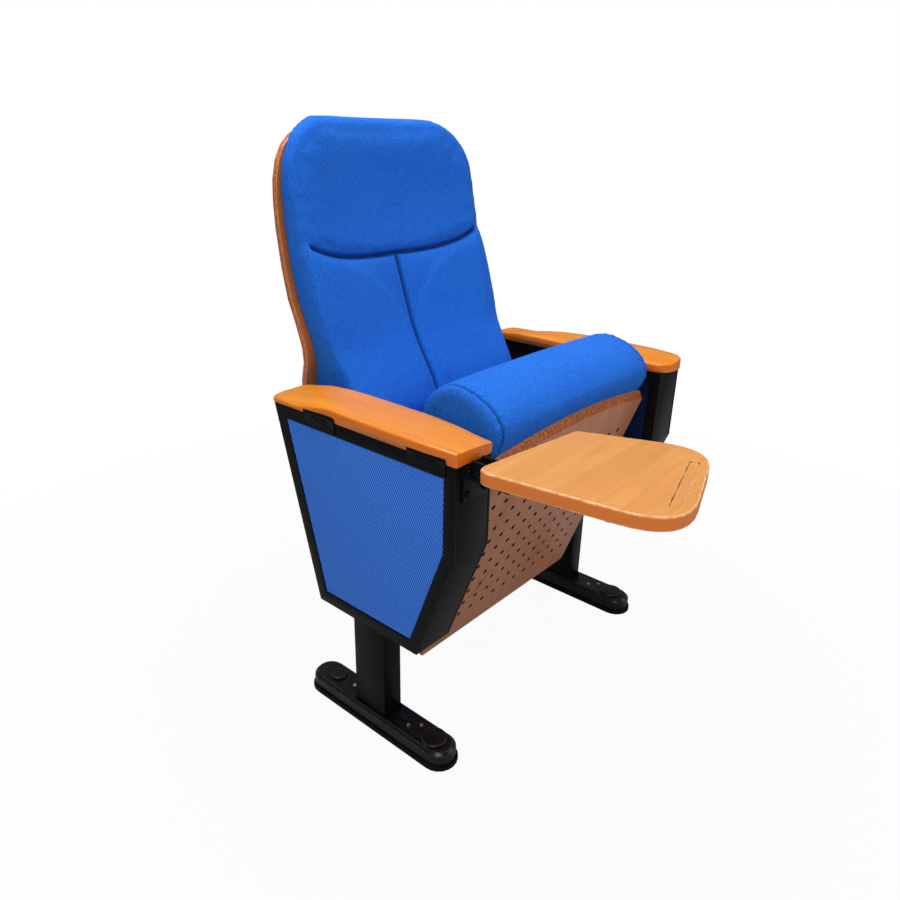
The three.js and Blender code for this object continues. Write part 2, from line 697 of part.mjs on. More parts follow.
function buildSeat() {
  const underZ = -shellUnderDrop;
  const panBottom = shellTopZ + gap;
  const panTop = panBottom + panThickness;
  const shell = loft([
    levelRing(shellOutline(0, 0), underZ), levelRing(shellOutline(shellEdgeLean, 0), shellTopZ),
  ], seenFromTop);
  const holes = Array.from({ length: holeColumns * holeRows }, (_, i) => {
    const x = ((i % holeColumns) - (holeColumns - 1) / 2) * holePitchX;
    const y = shellRearY - holeRearMargin - Math.floor(i / holeColumns) * holePitchY;
    return bar('z', holeRadius, underZ - overrun, shellTopZ + overrun, x, y, holeSides);
  });
  addPiece(seatAssembly, 'seat_shell', plyWood, cut(shell, holes));

  const panHalf = shellMiddleX - panInset;
  const pan = plateUp(roundedRectangle(point(-panHalf, panFrontY), point(panHalf, panRearY), shellCorner),
    panBottom, panTop);
  addPiece(seatAssembly, 'seat_pan', blackSteel, pan);

  const shellSpace = block(-seatWidth, seatWidth, noseCentreY - noseDepth * 2, cushionRearY + overrun,
    noseCentreZ - noseHalfHeight * 2, panBottom);
  const panSpace = block(-panHalf - gap, panHalf + gap, panFrontY - gap, panRearY + gap,
    underZ, panTop + gap);
  addPiece(seatAssembly, 'seat_cushion', blueCloth, cut(seatCushion(), [shellSpace, panSpace]));

  sides.forEach(({ name, sign }) => {
    const inner = sign * (shellMiddleX + gap);
    const outer = sign * sideArmOuterX;
    const foot = roundedRectangle(point(-sideArmFrontReach, underZ + gap * 2),
      point(sideArmRearReach, underZ + sideArmEndHeight), postCorner);
    const hub = bar('x', sideArmHub, inner, outer, 0, 0, pivotSides);
    const web = block(inner, outer, -sideArmHub, sideArmHub, underZ + sideArmEndHeight / 2, 0);
    const arm = join([plateAcross(foot, inner, outer), hub, web]);
    addPiece(seatAssembly, `${name}_seat_arm`, blackSteel, arm);

    const flangeStart = outer + sign * gap;
    const pinEnd = sign * (springEndX + gap);
    const pin = join([
      bar('x', pinHeadRadius, flangeStart, flangeStart + sign * pinHeadThickness, 0, 0, pivotSides),
      bar('x', pinRadius, flangeStart, pinEnd + sign * pinHeadThickness, 0, 0, pivotSides),
      bar('x', springRadius, pinEnd, pinEnd + sign * pinHeadThickness, 0, 0, pivotSides),
    ]);
    addPiece(seatAssembly, `${name}_pivot_pin`, zincSteel, pin);

    const tooth = block(sign * camStartX, sign * camEndX, -camToothWidth / 2, camToothWidth / 2,
      -camToothReach, 0).rotateX(THREE.MathUtils.degToRad(toothRestAngle + tipUpAngle));
    const camHub = bar('x', camHubRadius, sign * camStartX, sign * camEndX, 0, 0, pivotSides);
    const camBore = bar('x', pinRadius + gap, sign * (camStartX - overrun), sign * (camEndX + overrun),
      0, 0, pivotSides);
    addPiece(seatAssembly, `${name}_stop_cam`, zincSteel, cut(join([camHub, tooth]), [camBore]));
  });

}

/** The seat cushion's outline from the side: a full front roll, a sagging top and a round rear end. */
function cushionSection() {
  const power = 2 / noseFullness;
  const nose = Array.from({ length: noseSteps + 1 }, (_, i) => {
    const angle = Math.PI / 2 - (Math.PI * i) / noseSteps;
    const rise = Math.sign(Math.sin(angle)) * Math.abs(Math.sin(angle)) ** power;
    const reach = Math.abs(Math.cos(angle)) ** power;
    return point(noseCentreY - noseDepth * reach, noseCentreZ + noseHalfHeight * rise);
  });
  const rearRound = Array.from({ length: cornerSteps }, (_, i) => {
    const angle = (Math.PI / 2) * (i / (cornerSteps - 1));
    return point(cushionRearY - cushionRearRound * (1 - Math.cos(angle)),
      cushionRearZ - cushionRearRound * (1 - Math.sin(angle)));
  });
  const topStart = rearRound[rearRound.length - 1];
  const top = Array.from({ length: topSteps - 1 }, (_, i) => {
    const share = (i + 1) / topSteps;
    const eased = (share + THREE.MathUtils.smoothstep(share, 0, 1)) / 2;
    const sag = cushionSag * Math.sin(Math.PI * share);
    return point(THREE.MathUtils.lerp(topStart.x, nose[0].x, share),
      THREE.MathUtils.lerp(topStart.y, nose[0].y, eased) - sag);
  });
  return [...nose, point(cushionRearY, shellTopZ), ...rearRound, ...top];
}

function seatCushion() {
  const section = cushionSection();
  const half = seatWidth / 2;
  const crownAt = (x) => cushionCrown * ((x / half) ** 2 - 1);
  const stations = [
    [half, cushionEndInset],
    [half - cushionEndRound * edgeMiddleShare, cushionEndInset * edgeMiddleShare],
    [half - cushionEndRound, 0],
    [half / 2, crownAt(half / 2)], [0, crownAt(0)],
  ];
  const mirrored = stations.slice(0, -1).reverse().map(([x, inset]) => [-x, inset]);
  return loft([...stations, ...mirrored].map(([x, inset]) => uprightRing(insetOutline(section, inset), x)),
    seenFromSide);
}

/** A skin that follows the dished back, between two depths behind the shell's rear line. */
function dishedSlab(frontOffset, rearOffset, halfWidth) {
  const xs = dishShares.map((share) => share * (backShellWidth / 2))
    .filter((x) => Math.abs(x) < halfWidth);
  const places = [-halfWidth, ...xs, halfWidth];
  const depth = (x) => readTable(dishShares.map((share) => (
    [share * (backShellWidth / 2), -backDish * share * share])), x);
  return loft(shellLine.map(([z, rear]) => [
    ...places.map((x) => new THREE.Vector3(x, rear + depth(x) + frontOffset, z)),
    ...places.slice().reverse().map((x) => new THREE.Vector3(x, rear + depth(x) + rearOffset, z)),
  ]), seenFromTop);
}

/** The distance from a place on the back cushion's front to the cushion's outline. */
function backEdgeDistance(x, z, half) {
  const middleX = half - backCorner;
  const middleZ = backTopHeight - backCorner;
  const fromBottom = z - backBottomHeight;
  if (Math.abs(x) > middleX && z > middleZ) {
    return backCorner - Math.hypot(Math.abs(x) - middleX, z - middleZ);
  }
  return Math.min(half - Math.abs(x), backTopHeight - z, fromBottom);
}

/** The back cushion: crowned edges, one curved sewn channel across and one straight down. */
function backCushion() {
  const rows = [
    ...rowsBelowShares.map((share) => THREE.MathUtils.lerp(seamHeight, backBottomHeight, share)),
    ...rowsAboveShares.map((share) => THREE.MathUtils.lerp(seamHeight, backTopHeight, share)),
  ];
  const rings = rows.map((row) => {
    const full = THREE.MathUtils.mapLinear(THREE.MathUtils.clamp(row, lowerWidthBottom, lowerWidthTop),
      lowerWidthBottom, lowerWidthTop, backLowerWidth / 2, backWidth / 2);
    const intoCorner = Math.max(0, row - (backTopHeight - backCorner));
    const half = full - backCorner + Math.sqrt(Math.max(0, backCorner ** 2 - intoCorner ** 2));
    const fade = Math.max(0, 1 - Math.abs(row - seamHeight) / seamFade);
    const front = frontShares.map((share) => {
      const x = half * share;
      const z = row + fade * seamRise * Math.abs(share) ** seamRisePower;
      const edge = Math.min(backEdgeRound, Math.max(0, backEdgeDistance(x, z, full)));
      const roundBack = backEdgeRound - Math.sqrt(backEdgeRound ** 2 - (backEdgeRound - edge) ** 2);
      const across = Math.exp(-(((row - seamHeight) / seamHalfWidth) ** 2));
      const down = row < seamHeight ? Math.exp(-((x / seamHalfWidth) ** 2)) : 0;
      const dish = backDish * (x / (backShellWidth / 2)) ** 2;
      return new THREE.Vector3(x,
        readTable(cushionLine, z) - dish + roundBack + seamDepth * Math.max(across, down), z);
    });
    const rear = readTable(shellLine, row);
    const sideRear = rear - backDish * (half / (backShellWidth / 2)) ** 2;
    const sideFront = front[0].y;
    const sideMiddle = (sideFront + sideRear - backShellThickness) / 2;
    const corner = (sign) => [
      new THREE.Vector3(sign * (half - gap), Math.max(sideMiddle, sideFront + gap), row),
      new THREE.Vector3(sign * (half - backSideTuck), sideRear - backShellThickness / 2, row),
    ];
    const behind = rearShares.map((share) => new THREE.Vector3(
      share * (half - backSideTuck), rear - backShellThickness / 2, row));
    return [...front, ...corner(-1), ...behind, ...corner(1).reverse()];
  });
  return loft(rings, seenFromTop);
}

function buildBack() {
  const half = backShellWidth / 2;
  const frontView = roundedPolygon([
    point(-half, backShellBottom), point(half, backShellBottom), point(half, backShellTop),
    point(-half, backShellTop),
  ], [shellCorner, shellCorner, backShellCorner, backShellCorner], cornerSteps + 2);
  const depthRange = [0, shellLine[shellLine.length - 1][1] * 2];
  const shell = keepInside(dishedSlab(-backShellThickness, 0, half), plateDeep(frontView, ...depthRange));
  addPiece(fixedPieces, 'back_shell', backWood, shell);
  const shellSpace = dishedSlab(-backShellThickness - gap, backDish, half + overrun);
  addPiece(fixedPieces, 'back_cushion', blueCloth, cut(backCushion(), [shellSpace]));

  sides.forEach(({ name, sign }) => {
    const plateOut = sign * (innerFaceX - gap);
    const plateIn = plateOut - sign * bracketThickness;
    const topZ = boxTopHeight - bracketTopDrop;
    const wingRear = gap + bracketThickness;
    const wing = keepInside(dishedSlab(gap, wingRear, innerFaceX), block(
      plateOut, plateOut - sign * bracketWing, 0, depthRange[1], bracketBottomHeight, topZ));
    const rearY = readTable(shellLine, topZ) - backDish + gap;
    const plate = block(plateIn, plateOut, bracketFrontY, rearY, bracketBottomHeight, topZ);
    addPiece(fixedPieces, `${name}_back_bracket`, blackSteel, join([wing, plate]));
  });
}

/** The depth of the side box's rear edge at a height. */
function boxRearY(z) {
  return THREE.MathUtils.mapLinear(z, boxBottomHeight, boxTopHeight, boxRearBottomY, boxRearTopY);
}

/** A shaped wooden armrest: sides that swell, a top that steps down at the rear, rounded ends. */
function armPad(frontY, frontCorner, bottom) {
  const half = boxThickness / 2;
  const ends = (corner, steps) => Array.from({ length: steps + 1 }, (_, i) => {
    const angle = (Math.PI / 2) * (i / steps);
    return { into: corner * (1 - Math.sin(angle)), less: corner * (1 - Math.cos(angle)) };
  });
  // Each end runs from its corner's full width to its end face
  const front = ends(frontCorner, cornerSteps + 1)
    .map(({ into, less }) => ({ y: frontY + less, less: into }));
  const rear = ends(armRearCorner, cornerSteps)
    .map(({ into, less }) => ({ y: armRearY - less, less: into }));
  const middle = Array.from({ length: armStations }, (_, i) => ({
    y: THREE.MathUtils.lerp(frontY + frontCorner, armRearY - armRearCorner, (i + 1) / (armStations + 1)),
    less: 0,
  }));
  const topAt = (y, side) => bottom + armThickness + readTable(armRise, y - side * armSkew);
  const rings = [...front, ...middle, ...rear.reverse()].map(({ y, less }) => {
    const profile = (side, bulges) => {
      const reach = half - less;
      const bulged = reach + readTable(bulges, y);
      const top = topAt(y, side);
      const middleTop = topAt(y, side / 2);
      return [
        [side * reach, bottom], [side * bulged, (bottom + top) / 2], [side * bulged, top - armEdge],
        [side * (bulged - armEdge * edgeMiddleShare), top - armEdge * edgeMiddleShare],
        [side * (bulged - armEdge), top],
        [side * (bulged / 2), middleTop + armCrown],
      ];
    };
    const inner = profile(1, armInnerBulge);
    const outer = profile(-1, armOuterBulge).reverse();
    return [...inner, ...outer].map(([x, z]) => new THREE.Vector3(x, y, z));
  });
  return loft(rings, (v) => point(v.x, v.z));
}

/** The sitter's left armrest: a fixed wooden pad on a steel plate. */
function buildFixedArm({ name, sign }) {
  const bottom = boxTopHeight + gap;
  const plateTop = boxTopHeight - gap;
  const plateBottom = plateTop - armPlateThickness;
  const reach = boxThickness / 2 - trimThickness - gap;
  const plateFront = boxFrontY + coverThickness + gap;
  const plateRear = boxRearY(plateBottom) - coverThickness * 2;
  const pad = armPad(boxFrontY - fixedArmTip, fixedArmCorner, bottom);
  addPiece(fixedPieces, `${name}_armrest`, armWood, moved(mirrored(pad, sign), sign));
  const plate = block(-reach, reach, plateFront, plateRear, plateBottom, plateTop);
  addPiece(fixedPieces, `${name}_arm_plate`, blackSteel, moved(plate, sign));
}

/** The sitter's right armrest: a wooden lid over the side box, hinged along its outer edge. */
function buildLidArm({ name, sign }) {
  const bottom = boxTopHeight + gap;
  const outX = sign * (boxThickness / 2);
  const axisZ = bottom + lidHingeRadius;
  const recessX = outX - sign * (lidHingeRadius + gap);
  const pad = mirrored(armPad(boxFrontY - armFrontOverhang, lidCorner, bottom), sign);
  const half = lidHingeLength / 2;
  const flapHalf = half * lidKnuckleShare;
  const leafX = outX - sign * lidLeafWidth;
  const recesses = lidHingeYs.flatMap((y) => [
    block(recessX, outX + sign * armSkew, y - half - gap, y + half + gap, bottom - overrun,
      axisZ + lidHingeRadius + gap),
    block(leafX - sign * gap, outX + sign * armSkew, y - flapHalf - gap, y + flapHalf + gap,
      bottom - overrun, bottom + lidLeafThickness + gap * 2),
  ]);
  addPiece(fixedPieces, `${name}_arm_lid`, armWood, moved(cut(pad, recesses), sign));

  const leafOut = outX + sign * (gap + lidLeafThickness);
  ['front', 'rear'].forEach((end, i) => {
    const y = lidHingeYs[i];
    const flap = cut(join([
      bar('y', lidHingeRadius, y - flapHalf, y + flapHalf, outX, axisZ, pivotSides),
      block(leafX, outX, y - flapHalf, y + flapHalf, bottom + gap / 2, bottom + lidLeafThickness),
    ]), [bar('y', lidHingePin + gap, y - half, y + half, outX, axisZ, smallSides)]);
    addPiece(fixedPieces, `${name}_lid_${end}_flap`, blackSteel, moved(flap, sign));
    const knuckles = [-1, 1].flatMap((side) => {
      const from = y + side * half;
      const to = y + side * (flapHalf + gap);
      return [
        bar('y', lidHingeRadius, from, to, outX, axisZ),
        block(outX + sign * gap, leafOut, from, to, boxTopHeight - lidLeafDrop / 2, axisZ - lidHingePin),
      ];
    });
    const base = join([
      block(outX + sign * gap, leafOut, y - half, y + half,
        boxTopHeight - lidLeafDrop, boxTopHeight - gap * 2),
      ...knuckles, bar('y', lidHingePin, y - half, y + half, outX, axisZ, smallSides),
    ]);
    addPiece(fixedPieces, `${name}_lid_${end}_hinge`, blackSteel, moved(base, sign));
  });
}

/** The tablet's outline, from shares of its width and length. */
function tabletOutline() {
  const outerX = -outerFaceX - tabletOuterOverhang;
  return roundedPolygon(tabletCornerShares.map(([across, ahead]) => (
    point(outerX + tabletWidth * across, tabletRearY - tabletLength * ahead))),
  tabletRadii, tabletCornerSteps);
}

function buildTablet() {
  const axisX = -standSpacing / 2;
  const axisZ = tabletTopHeight - flipAxisDrop;
  const boardBottom = tabletTopHeight - tabletThickness;
  const faceY = boxFrontY - gap;
  const baseFront = faceY - baseThickness;
  const baseTop = boxTopHeight - baseTopDrop;
  const baseBottom = baseTop - baseDrop;
  const eyeHalf = eyeThickness / 2;
  const earInner = eyeHalf + gap;
  const earOuter = earInner + earThickness;

  const ears = [-1, 1].flatMap((side) => [
    block(axisX + side * earInner, axisX + side * earOuter, swingPinY, baseFront + gap,
      axisZ - earReach, axisZ + earReach),
    bar('x', earReach, axisX + side * earInner, axisX + side * earOuter, swingPinY, axisZ),
  ]);
  const tongueTop = axisZ - armRodRadius - gap;
  const tongueFront = swingPinY - tongueReach;
  const tongue = block(axisX - earOuter, axisX + earOuter, tongueFront, swingPinY - eyeRadius - gap,
    tongueTop - tongueThickness, tongueTop);
  const tongueRoot = block(axisX - earOuter, axisX + earOuter, tongueFront, baseFront + gap,
    tongueTop - tongueThickness * 2, tongueTop - tongueThickness + gap);
  const pinBore = (extra) => bar('x', swingPinRadius + extra, axisX - earOuter - overrun,
    axisX + earOuter + overrun, swingPinY, axisZ);
  const base = block(axisX - baseWidth / 2, axisX + baseWidth / 2, baseFront, faceY, baseBottom, baseTop);
  addPiece(fixedPieces, 'tablet_bracket', blackSteel,
    cut(join([base, ...ears, tongue, tongueRoot]), [pinBore(gap)]));
  const headX = earOuter + gap;
  addPiece(fixedPieces, 'tablet_swing_pin', zincSteel, join([
    bar('x', swingPinRadius, axisX - headX - gap, axisX + headX + gap, swingPinY, axisZ),
    ...[-1, 1].map((side) => bar('x', swingPinHead, axisX + side * headX,
      axisX + side * (headX + swingPinHeadHeight), swingPinY, axisZ)),
  ]));

  const eye = bar('x', eyeRadius, axisX - eyeHalf, axisX + eyeHalf, swingPinY, axisZ, pivotSides);
  const rod = bar('y', armRodRadius, swingPinY - eyeRadius / 2, armRodFrontY, axisX, axisZ);
  const collars = [leafRearY + gap, leafFrontY - gap - collarLength].map((y) => (
    bar('y', collarRadius - gap, y, y + collarLength, axisX, axisZ)));
  addPiece(fixedPieces, 'tablet_arm', blackSteel,
    cut(join([eye, rod, ...collars]), [pinBore(bushClearance)]));

  const leafTop = boardBottom - gap;
  const leafBottom = leafTop - leafThickness;
  const leafPlate = plateUp(roundedRectangle(point(axisX - leafWidth / 2, leafFrontY),
    point(axisX + leafWidth / 2, leafRearY), postCorner), leafBottom, leafTop);
  const knuckleOuter = leafBottom + gap - axisZ;
  const knuckleYs = [leafFrontY, leafRearY - knuckleLength];
  const knuckles = knuckleYs.flatMap((y) => [
    bar('y', armRodRadius + knuckleWall, y, y + knuckleLength, axisX, axisZ),
    block(axisX - armRodRadius, axisX + armRodRadius, y, y + knuckleLength, axisZ, axisZ + knuckleOuter),
  ]);
  const rodBore = bar('y', armRodRadius + gap, leafFrontY - overrun, leafRearY + overrun, axisX, axisZ);
  addPiece(fixedPieces, 'tablet_hinge_leaf', blackSteel, cut(join([leafPlate, ...knuckles]), [rodBore]));

  const outline = tabletOutline();
  const edge = tabletEdge / 2;
  const board = loft([
    levelRing(insetOutline(outline, edge), boardBottom), levelRing(outline, boardBottom + edge),
    levelRing(outline, tabletTopHeight - edge), levelRing(insetOutline(outline, edge), tabletTopHeight),
  ], seenFromTop);
  const [grooveAcross, grooveAhead] = groovePlaceShares;
  const grooveOutline = roundedRectangle(point(-grooveLength / 2, -grooveWidth / 2),
    point(grooveLength / 2, grooveWidth / 2), grooveWidth / 2 - gap);
  const groove = plateUp(grooveOutline, tabletTopHeight - grooveDepth, tabletTopHeight + overrun)
    .rotateZ(THREE.MathUtils.degToRad(grooveTurn))
    .translate(-outerFaceX - tabletOuterOverhang + tabletWidth * grooveAcross,
      tabletRearY - tabletLength * grooveAhead, 0);
  addPiece(fixedPieces, 'tablet_board', tabletWood, cut(board, [groove]));
}

const [rightSide, leftSide] = sides;
sides.forEach((side) => {
  buildFoot(side);
  buildPost(side);
  buildBox(side);
  buildPivot(side);
});
buildLidArm(rightSide);
buildFixedArm(leftSide);
buildBack();
buildSeat();
buildTablet();

// The seat is drawn level and then tipped up about its pivot
seatAssembly.rotation.x = -THREE.MathUtils.degToRad(tipUpAngle);
seatAssembly.position.set(0, pivotY, pivotHeight);

// The origin is on the floor, under the middle of the object's outer box
const chair = new THREE.Group();
chair.add(fixedPieces, seatAssembly);
chair.updateMatrixWorld(true);
const outerBox = new THREE.Box3().setFromObject(chair, true);
const middle = outerBox.getCenter(new THREE.Vector3());
chair.position.set(-middle.x, -middle.y, 0);

export default chair;
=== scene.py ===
"""A tip-up auditorium seat with a folding writing tablet, dressed over its fixed model.

The seat faces -Y, +Z is up and the sitter's right is -X. Lengths are in metres.
"""

from __future__ import annotations

import json
import logging
import math
from dataclasses import dataclass
from enum import Enum, StrEnum, auto
from typing import Callable, Iterable, Sequence

import bmesh
import bpy
from mathutils import Matrix, Vector
from mathutils.bvhtree import BVHTree

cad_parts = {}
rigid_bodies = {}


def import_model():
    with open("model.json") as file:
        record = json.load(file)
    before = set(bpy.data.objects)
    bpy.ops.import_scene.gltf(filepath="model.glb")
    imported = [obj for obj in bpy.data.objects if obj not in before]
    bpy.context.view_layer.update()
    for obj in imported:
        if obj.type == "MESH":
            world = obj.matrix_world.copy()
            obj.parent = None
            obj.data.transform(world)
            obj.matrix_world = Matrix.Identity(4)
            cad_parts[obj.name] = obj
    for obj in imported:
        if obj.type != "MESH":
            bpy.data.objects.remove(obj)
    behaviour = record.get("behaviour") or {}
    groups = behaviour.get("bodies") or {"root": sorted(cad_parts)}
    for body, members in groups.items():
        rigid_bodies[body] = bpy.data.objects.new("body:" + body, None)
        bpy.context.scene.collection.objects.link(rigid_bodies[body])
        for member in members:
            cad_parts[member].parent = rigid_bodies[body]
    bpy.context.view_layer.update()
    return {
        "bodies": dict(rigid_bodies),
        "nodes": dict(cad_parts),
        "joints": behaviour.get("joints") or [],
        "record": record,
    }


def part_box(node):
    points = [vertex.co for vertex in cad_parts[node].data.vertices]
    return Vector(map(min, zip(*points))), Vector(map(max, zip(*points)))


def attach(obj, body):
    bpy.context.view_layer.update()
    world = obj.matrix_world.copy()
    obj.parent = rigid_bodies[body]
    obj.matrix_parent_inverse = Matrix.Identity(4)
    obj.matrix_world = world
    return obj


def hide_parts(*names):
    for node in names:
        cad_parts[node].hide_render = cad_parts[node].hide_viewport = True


log = logging.getLogger("auditorium_seat")

STAND_MIDDLE_Y = 0.043  # from the drawing's zero to a foot's middle, front to back
TIP_UP = math.radians(70.5)
SIDES = {"right": -1.0, "left": 1.0}
# marks rounded edges, which the edge paint lightens as rubbing and painted highlight
EDGE_MARK = "edge_mark"
PLY_DEPTH = "ply_depth"
# the share of painted shade in a seam's crease, written on the cushion covers
PAINTED_SEAM_SHADE = "painted_seam_shade"
# hole and groove walls marked with this get painted shade in the wood
IN_HOLE = -1.0  # the ply depth of a bored hole's or a groove's wall
HOLE_SPAN = 0.015  # a bored hole or a groove is narrower than this
WELD = 2e-6
FLAT_ANGLE = 0.6  # faces that meet at less, in degrees, are joined
HEAD_ANGLE = 35.0  # sharper edges of screw heads stay crisp, in degrees
UP = Vector((0, 0, 1))
DOWN = Vector((0, 0, -1))
FORWARD = Vector((0, -1, 0))
BACKWARD = Vector((0, 1, 0))
WHITE = (1, 1, 1, 1)
MIX_SHARE, MIX_FIRST, MIX_SECOND, MIX_RESULT = 0, 6, 7, 2  # sockets of a colour mix

Color = tuple[float, float, float]
Node = bpy.types.Node
Socket = bpy.types.NodeSocket
Tree = bpy.types.NodeTree
Mesh = bpy.types.Mesh
Object = bpy.types.Object
BMesh = bmesh.types.BMesh
BMVert = bmesh.types.BMVert
BMFace = bmesh.types.BMFace


class Body(Enum):
    """The rigid bodies that the pieces ride on."""

    FRAME = "stand_frame"
    SEAT = "seat"
    ARM = "tablet_arm"
    BOARD = "tablet_board"
    LID = "arm_lid"


class Slot(StrEnum):
    """The record's material slots, each with its own name in small letters."""

    BLACK_STEEL = auto()
    BLACK_PLASTIC = auto()
    ZINC_STEEL = auto()
    RUBBER = auto()
    NYLON = auto()
    ARM_WOOD = auto()
    TABLET_WOOD = auto()
    SEAT_PLY = auto()
    BACK_PLY = auto()
    BLUE_CLOTH = auto()
    PANEL_CLOTH = auto()


class GrainRun(Enum):
    """The axis that a board's grain runs along."""

    ALONG_X = (0.0, 0.0, math.pi / 2)
    ALONG_Y = (0.0, 0.0, 0.0)
    ALONG_Z = (math.pi / 2, 0.0, 0.0)
    ALONG_SEAT = (TIP_UP, 0.0, 0.0)


def linear(red: int, green: int, blue: int) -> Color:
    """Turns a written 0-255 colour into linear light.

    Args:
        red: Red part.
        green: Green part.
        blue: Blue part.

    Returns:
        The linear colour.
    """
    def one(value: int) -> float:
        """Returns one channel in linear light, by the sRGB curve."""
        share = value / 255
        return share / 12.92 if share <= 0.04045 else ((share + 0.055) / 1.055) ** 2.4

    return one(red), one(green), one(blue)


SHEEN_TINT = (*linear(120, 180, 255), 1.0)


def scaled(color: Color, factor: float, lift: float = 0.0) -> Color:
    """Returns a colour times a factor, plus a lift, with each channel at most 1."""
    return tuple(min(1.0, channel * factor + lift) for channel in color)


def bell(gap: float, width: float) -> float:
    """Returns 1 at no gap, falling smoothly to 0 over a few widths."""
    return math.exp(-((gap / width) ** 2))


# ---- Shader building


class NodeSheet:
    """Adds and joins the nodes of one node tree."""

    def __init__(self, tree: Tree) -> None:
        """Keeps the tree that the nodes go into."""
        self.tree = tree

    def add(self, kind: str, settings: dict[str, object] | None = None, **inputs: object) -> Node:
        """Adds a shader node.

        Args:
            kind: The node's type name after ShaderNode.
            settings: Properties of the node itself.
            **inputs: Socket values or sockets to link, by socket name with _ for a space.

        Returns:
            The new node.
        """
        node = self.tree.nodes.new(f"ShaderNode{kind}")
        for name, value in (settings or {}).items():
            setattr(node, name, value)
        self.give(node, **inputs)
        return node

    def give(self, node: Node, **inputs: object) -> None:
        """Feeds a node's inputs, by socket name with _ for a space."""
        for name, value in inputs.items():
            self.feed(node.inputs[name.replace("_", " ")], value)

    def feed(self, socket: Socket, value: object) -> None:
        """Links a socket to another socket, or sets its value."""
        if isinstance(value, bpy.types.NodeSocket):
            self.tree.links.new(value, socket)
        else:
            socket.default_value = value

    def math(self, operation: str, *values: object) -> Socket:
        """Returns the result of one sum on up to three values."""
        node = self.add("Math", {"operation": operation})
        for socket, value in zip(node.inputs, values):
            self.feed(socket, value)
        return node.outputs[0]

    def times(self, first: object, second: object) -> Socket:
        """Returns the product of two values."""
        return self.math("MULTIPLY", first, second)

    def blend(self, share: object, first: Socket | Color, second: Socket | Color) -> Socket:
        """Returns a mix of two colours."""
        node = self.add("Mix", {"data_type": "RGBA"})
        self.feed(node.inputs[MIX_SHARE], share)
        for index, value in ((MIX_FIRST, first), (MIX_SECOND, second)):
            self.feed(node.inputs[index], (*value, 1.0) if isinstance(value, tuple) else value)
        return node.outputs[MIX_RESULT]

    def span(self, value: object, low: float, high: float, to_low: float,
             to_high: float) -> Socket:
        """Returns a value moved from one range to another."""
        return self.add("MapRange", Value=value, From_Min=low, From_Max=high,
                        To_Min=to_low, To_Max=to_high).outputs[0]

    def noise(self, place: object, scale: object, detail: float, **more: float) -> Socket:
        """Returns a cloudy value at a place."""
        return self.add("TexNoise", Vector=place, Scale=scale, Detail=detail, **more).outputs[0]

    def cells(self, place: object, scale: object, feature: str = "F1", **more: float) -> Socket:
        """Returns the distance from a place to the nearest of many scattered points."""
        node = self.add("TexVoronoi", {"feature": feature}, Vector=place, Scale=scale, **more)
        return node.outputs["Distance"]

    def mark(self, name: str) -> Socket:
        """Returns a value that is written on the mesh."""
        settings = {"attribute_type": "GEOMETRY", "attribute_name": name}
        return self.add("Attribute", settings).outputs["Fac"]

    def mapped(self, place: object, **inputs: object) -> Socket:
        """Returns coordinates turned or scaled."""
        return self.add("Mapping", Vector=place, **inputs).outputs[0]


def new_group(name: str, setting: str, default: float,
              *results: str) -> tuple[NodeSheet, Socket, Socket, Node]:
    """Starts a shader node group that takes a place and one setting.

    Args:
        name: The group's name.
        setting: The setting's socket name.
        default: The setting's default.
        *results: Names of the values that the group gives.

    Returns:
        The sheet, the place, the setting and the group's output node.
    """
    tree = bpy.data.node_groups.new(name, "ShaderNodeTree")
    face = tree.interface
    face.new_socket(name="Place", in_out="INPUT", socket_type="NodeSocketVector")
    socket = face.new_socket(name=setting, in_out="INPUT", socket_type="NodeSocketFloat")
    socket.default_value = default
    for label in results:
        face.new_socket(name=label, in_out="OUTPUT", socket_type="NodeSocketFloat")
    given = tree.nodes.new("NodeGroupInput")
    result = tree.nodes.new("NodeGroupOutput")
    return NodeSheet(tree), given.outputs["Place"], given.outputs[setting], result


def twill_group() -> Tree:
    """Builds the diagonal ribbed weave of the side panels.

    Returns:
        A group that gives the thread height and a fleck from a place.
    """
    sheet, place, pitch, result = new_group("panel twill", "Rib pitch", 0.0033, "Height", "Fleck")
    wander = sheet.noise(place, scale=220.0, detail=1.0)
    apart = sheet.add("SeparateXYZ", Vector=place)
    across = sheet.math("MULTIPLY_ADD", wander, 0.0009, apart.outputs["Y"])
    turn = sheet.math("DIVIDE", 2 * math.pi, pitch)
    rib = sheet.math("SINE", sheet.times(across, turn))
    step = sheet.math("MULTIPLY_ADD", across, 0.7, apart.outputs["Z"])
    thread = sheet.math("SINE", sheet.times(step, sheet.times(turn, 1.9)))
    height = sheet.times(sheet.span(rib, -1, 1, 0, 1), sheet.span(thread, -1, 1, 0.75, 1))
    fuzz = sheet.noise(place, scale=900.0, detail=2.0)
    fleck = sheet.times(height, sheet.span(fuzz, 0.3, 0.7, 0.6, 1.2))
    sheet.give(result, Height=height, Fleck=fleck)
    return sheet.tree


def crepe_group() -> Tree:
    """Builds the fine pebbled weave of the cushion cloth.

    Returns:
        A group that gives the thread height and a slow colour drift from a place.
    """
    sheet, place, size, result = new_group(
        "cushion crepe", "Thread size", 0.0016, "Height", "Drift")
    knots = sheet.cells(place, sheet.math("DIVIDE", 1.0, size), Randomness=0.75)
    fuzz = sheet.noise(place, scale=1500.0, detail=3.0, Roughness=0.65)
    height = sheet.math("ADD", sheet.span(knots, 0.0, 0.75, 1.0, 0.0), sheet.times(fuzz, 0.45))
    slow = sheet.noise(place, scale=9.0, detail=3.0)
    heather = sheet.noise(place, scale=240.0, detail=2.0)
    drift = sheet.math("ADD", sheet.times(slow, 0.55), sheet.times(heather, 0.45))
    sheet.give(result, Height=height, Drift=drift)
    return sheet.tree


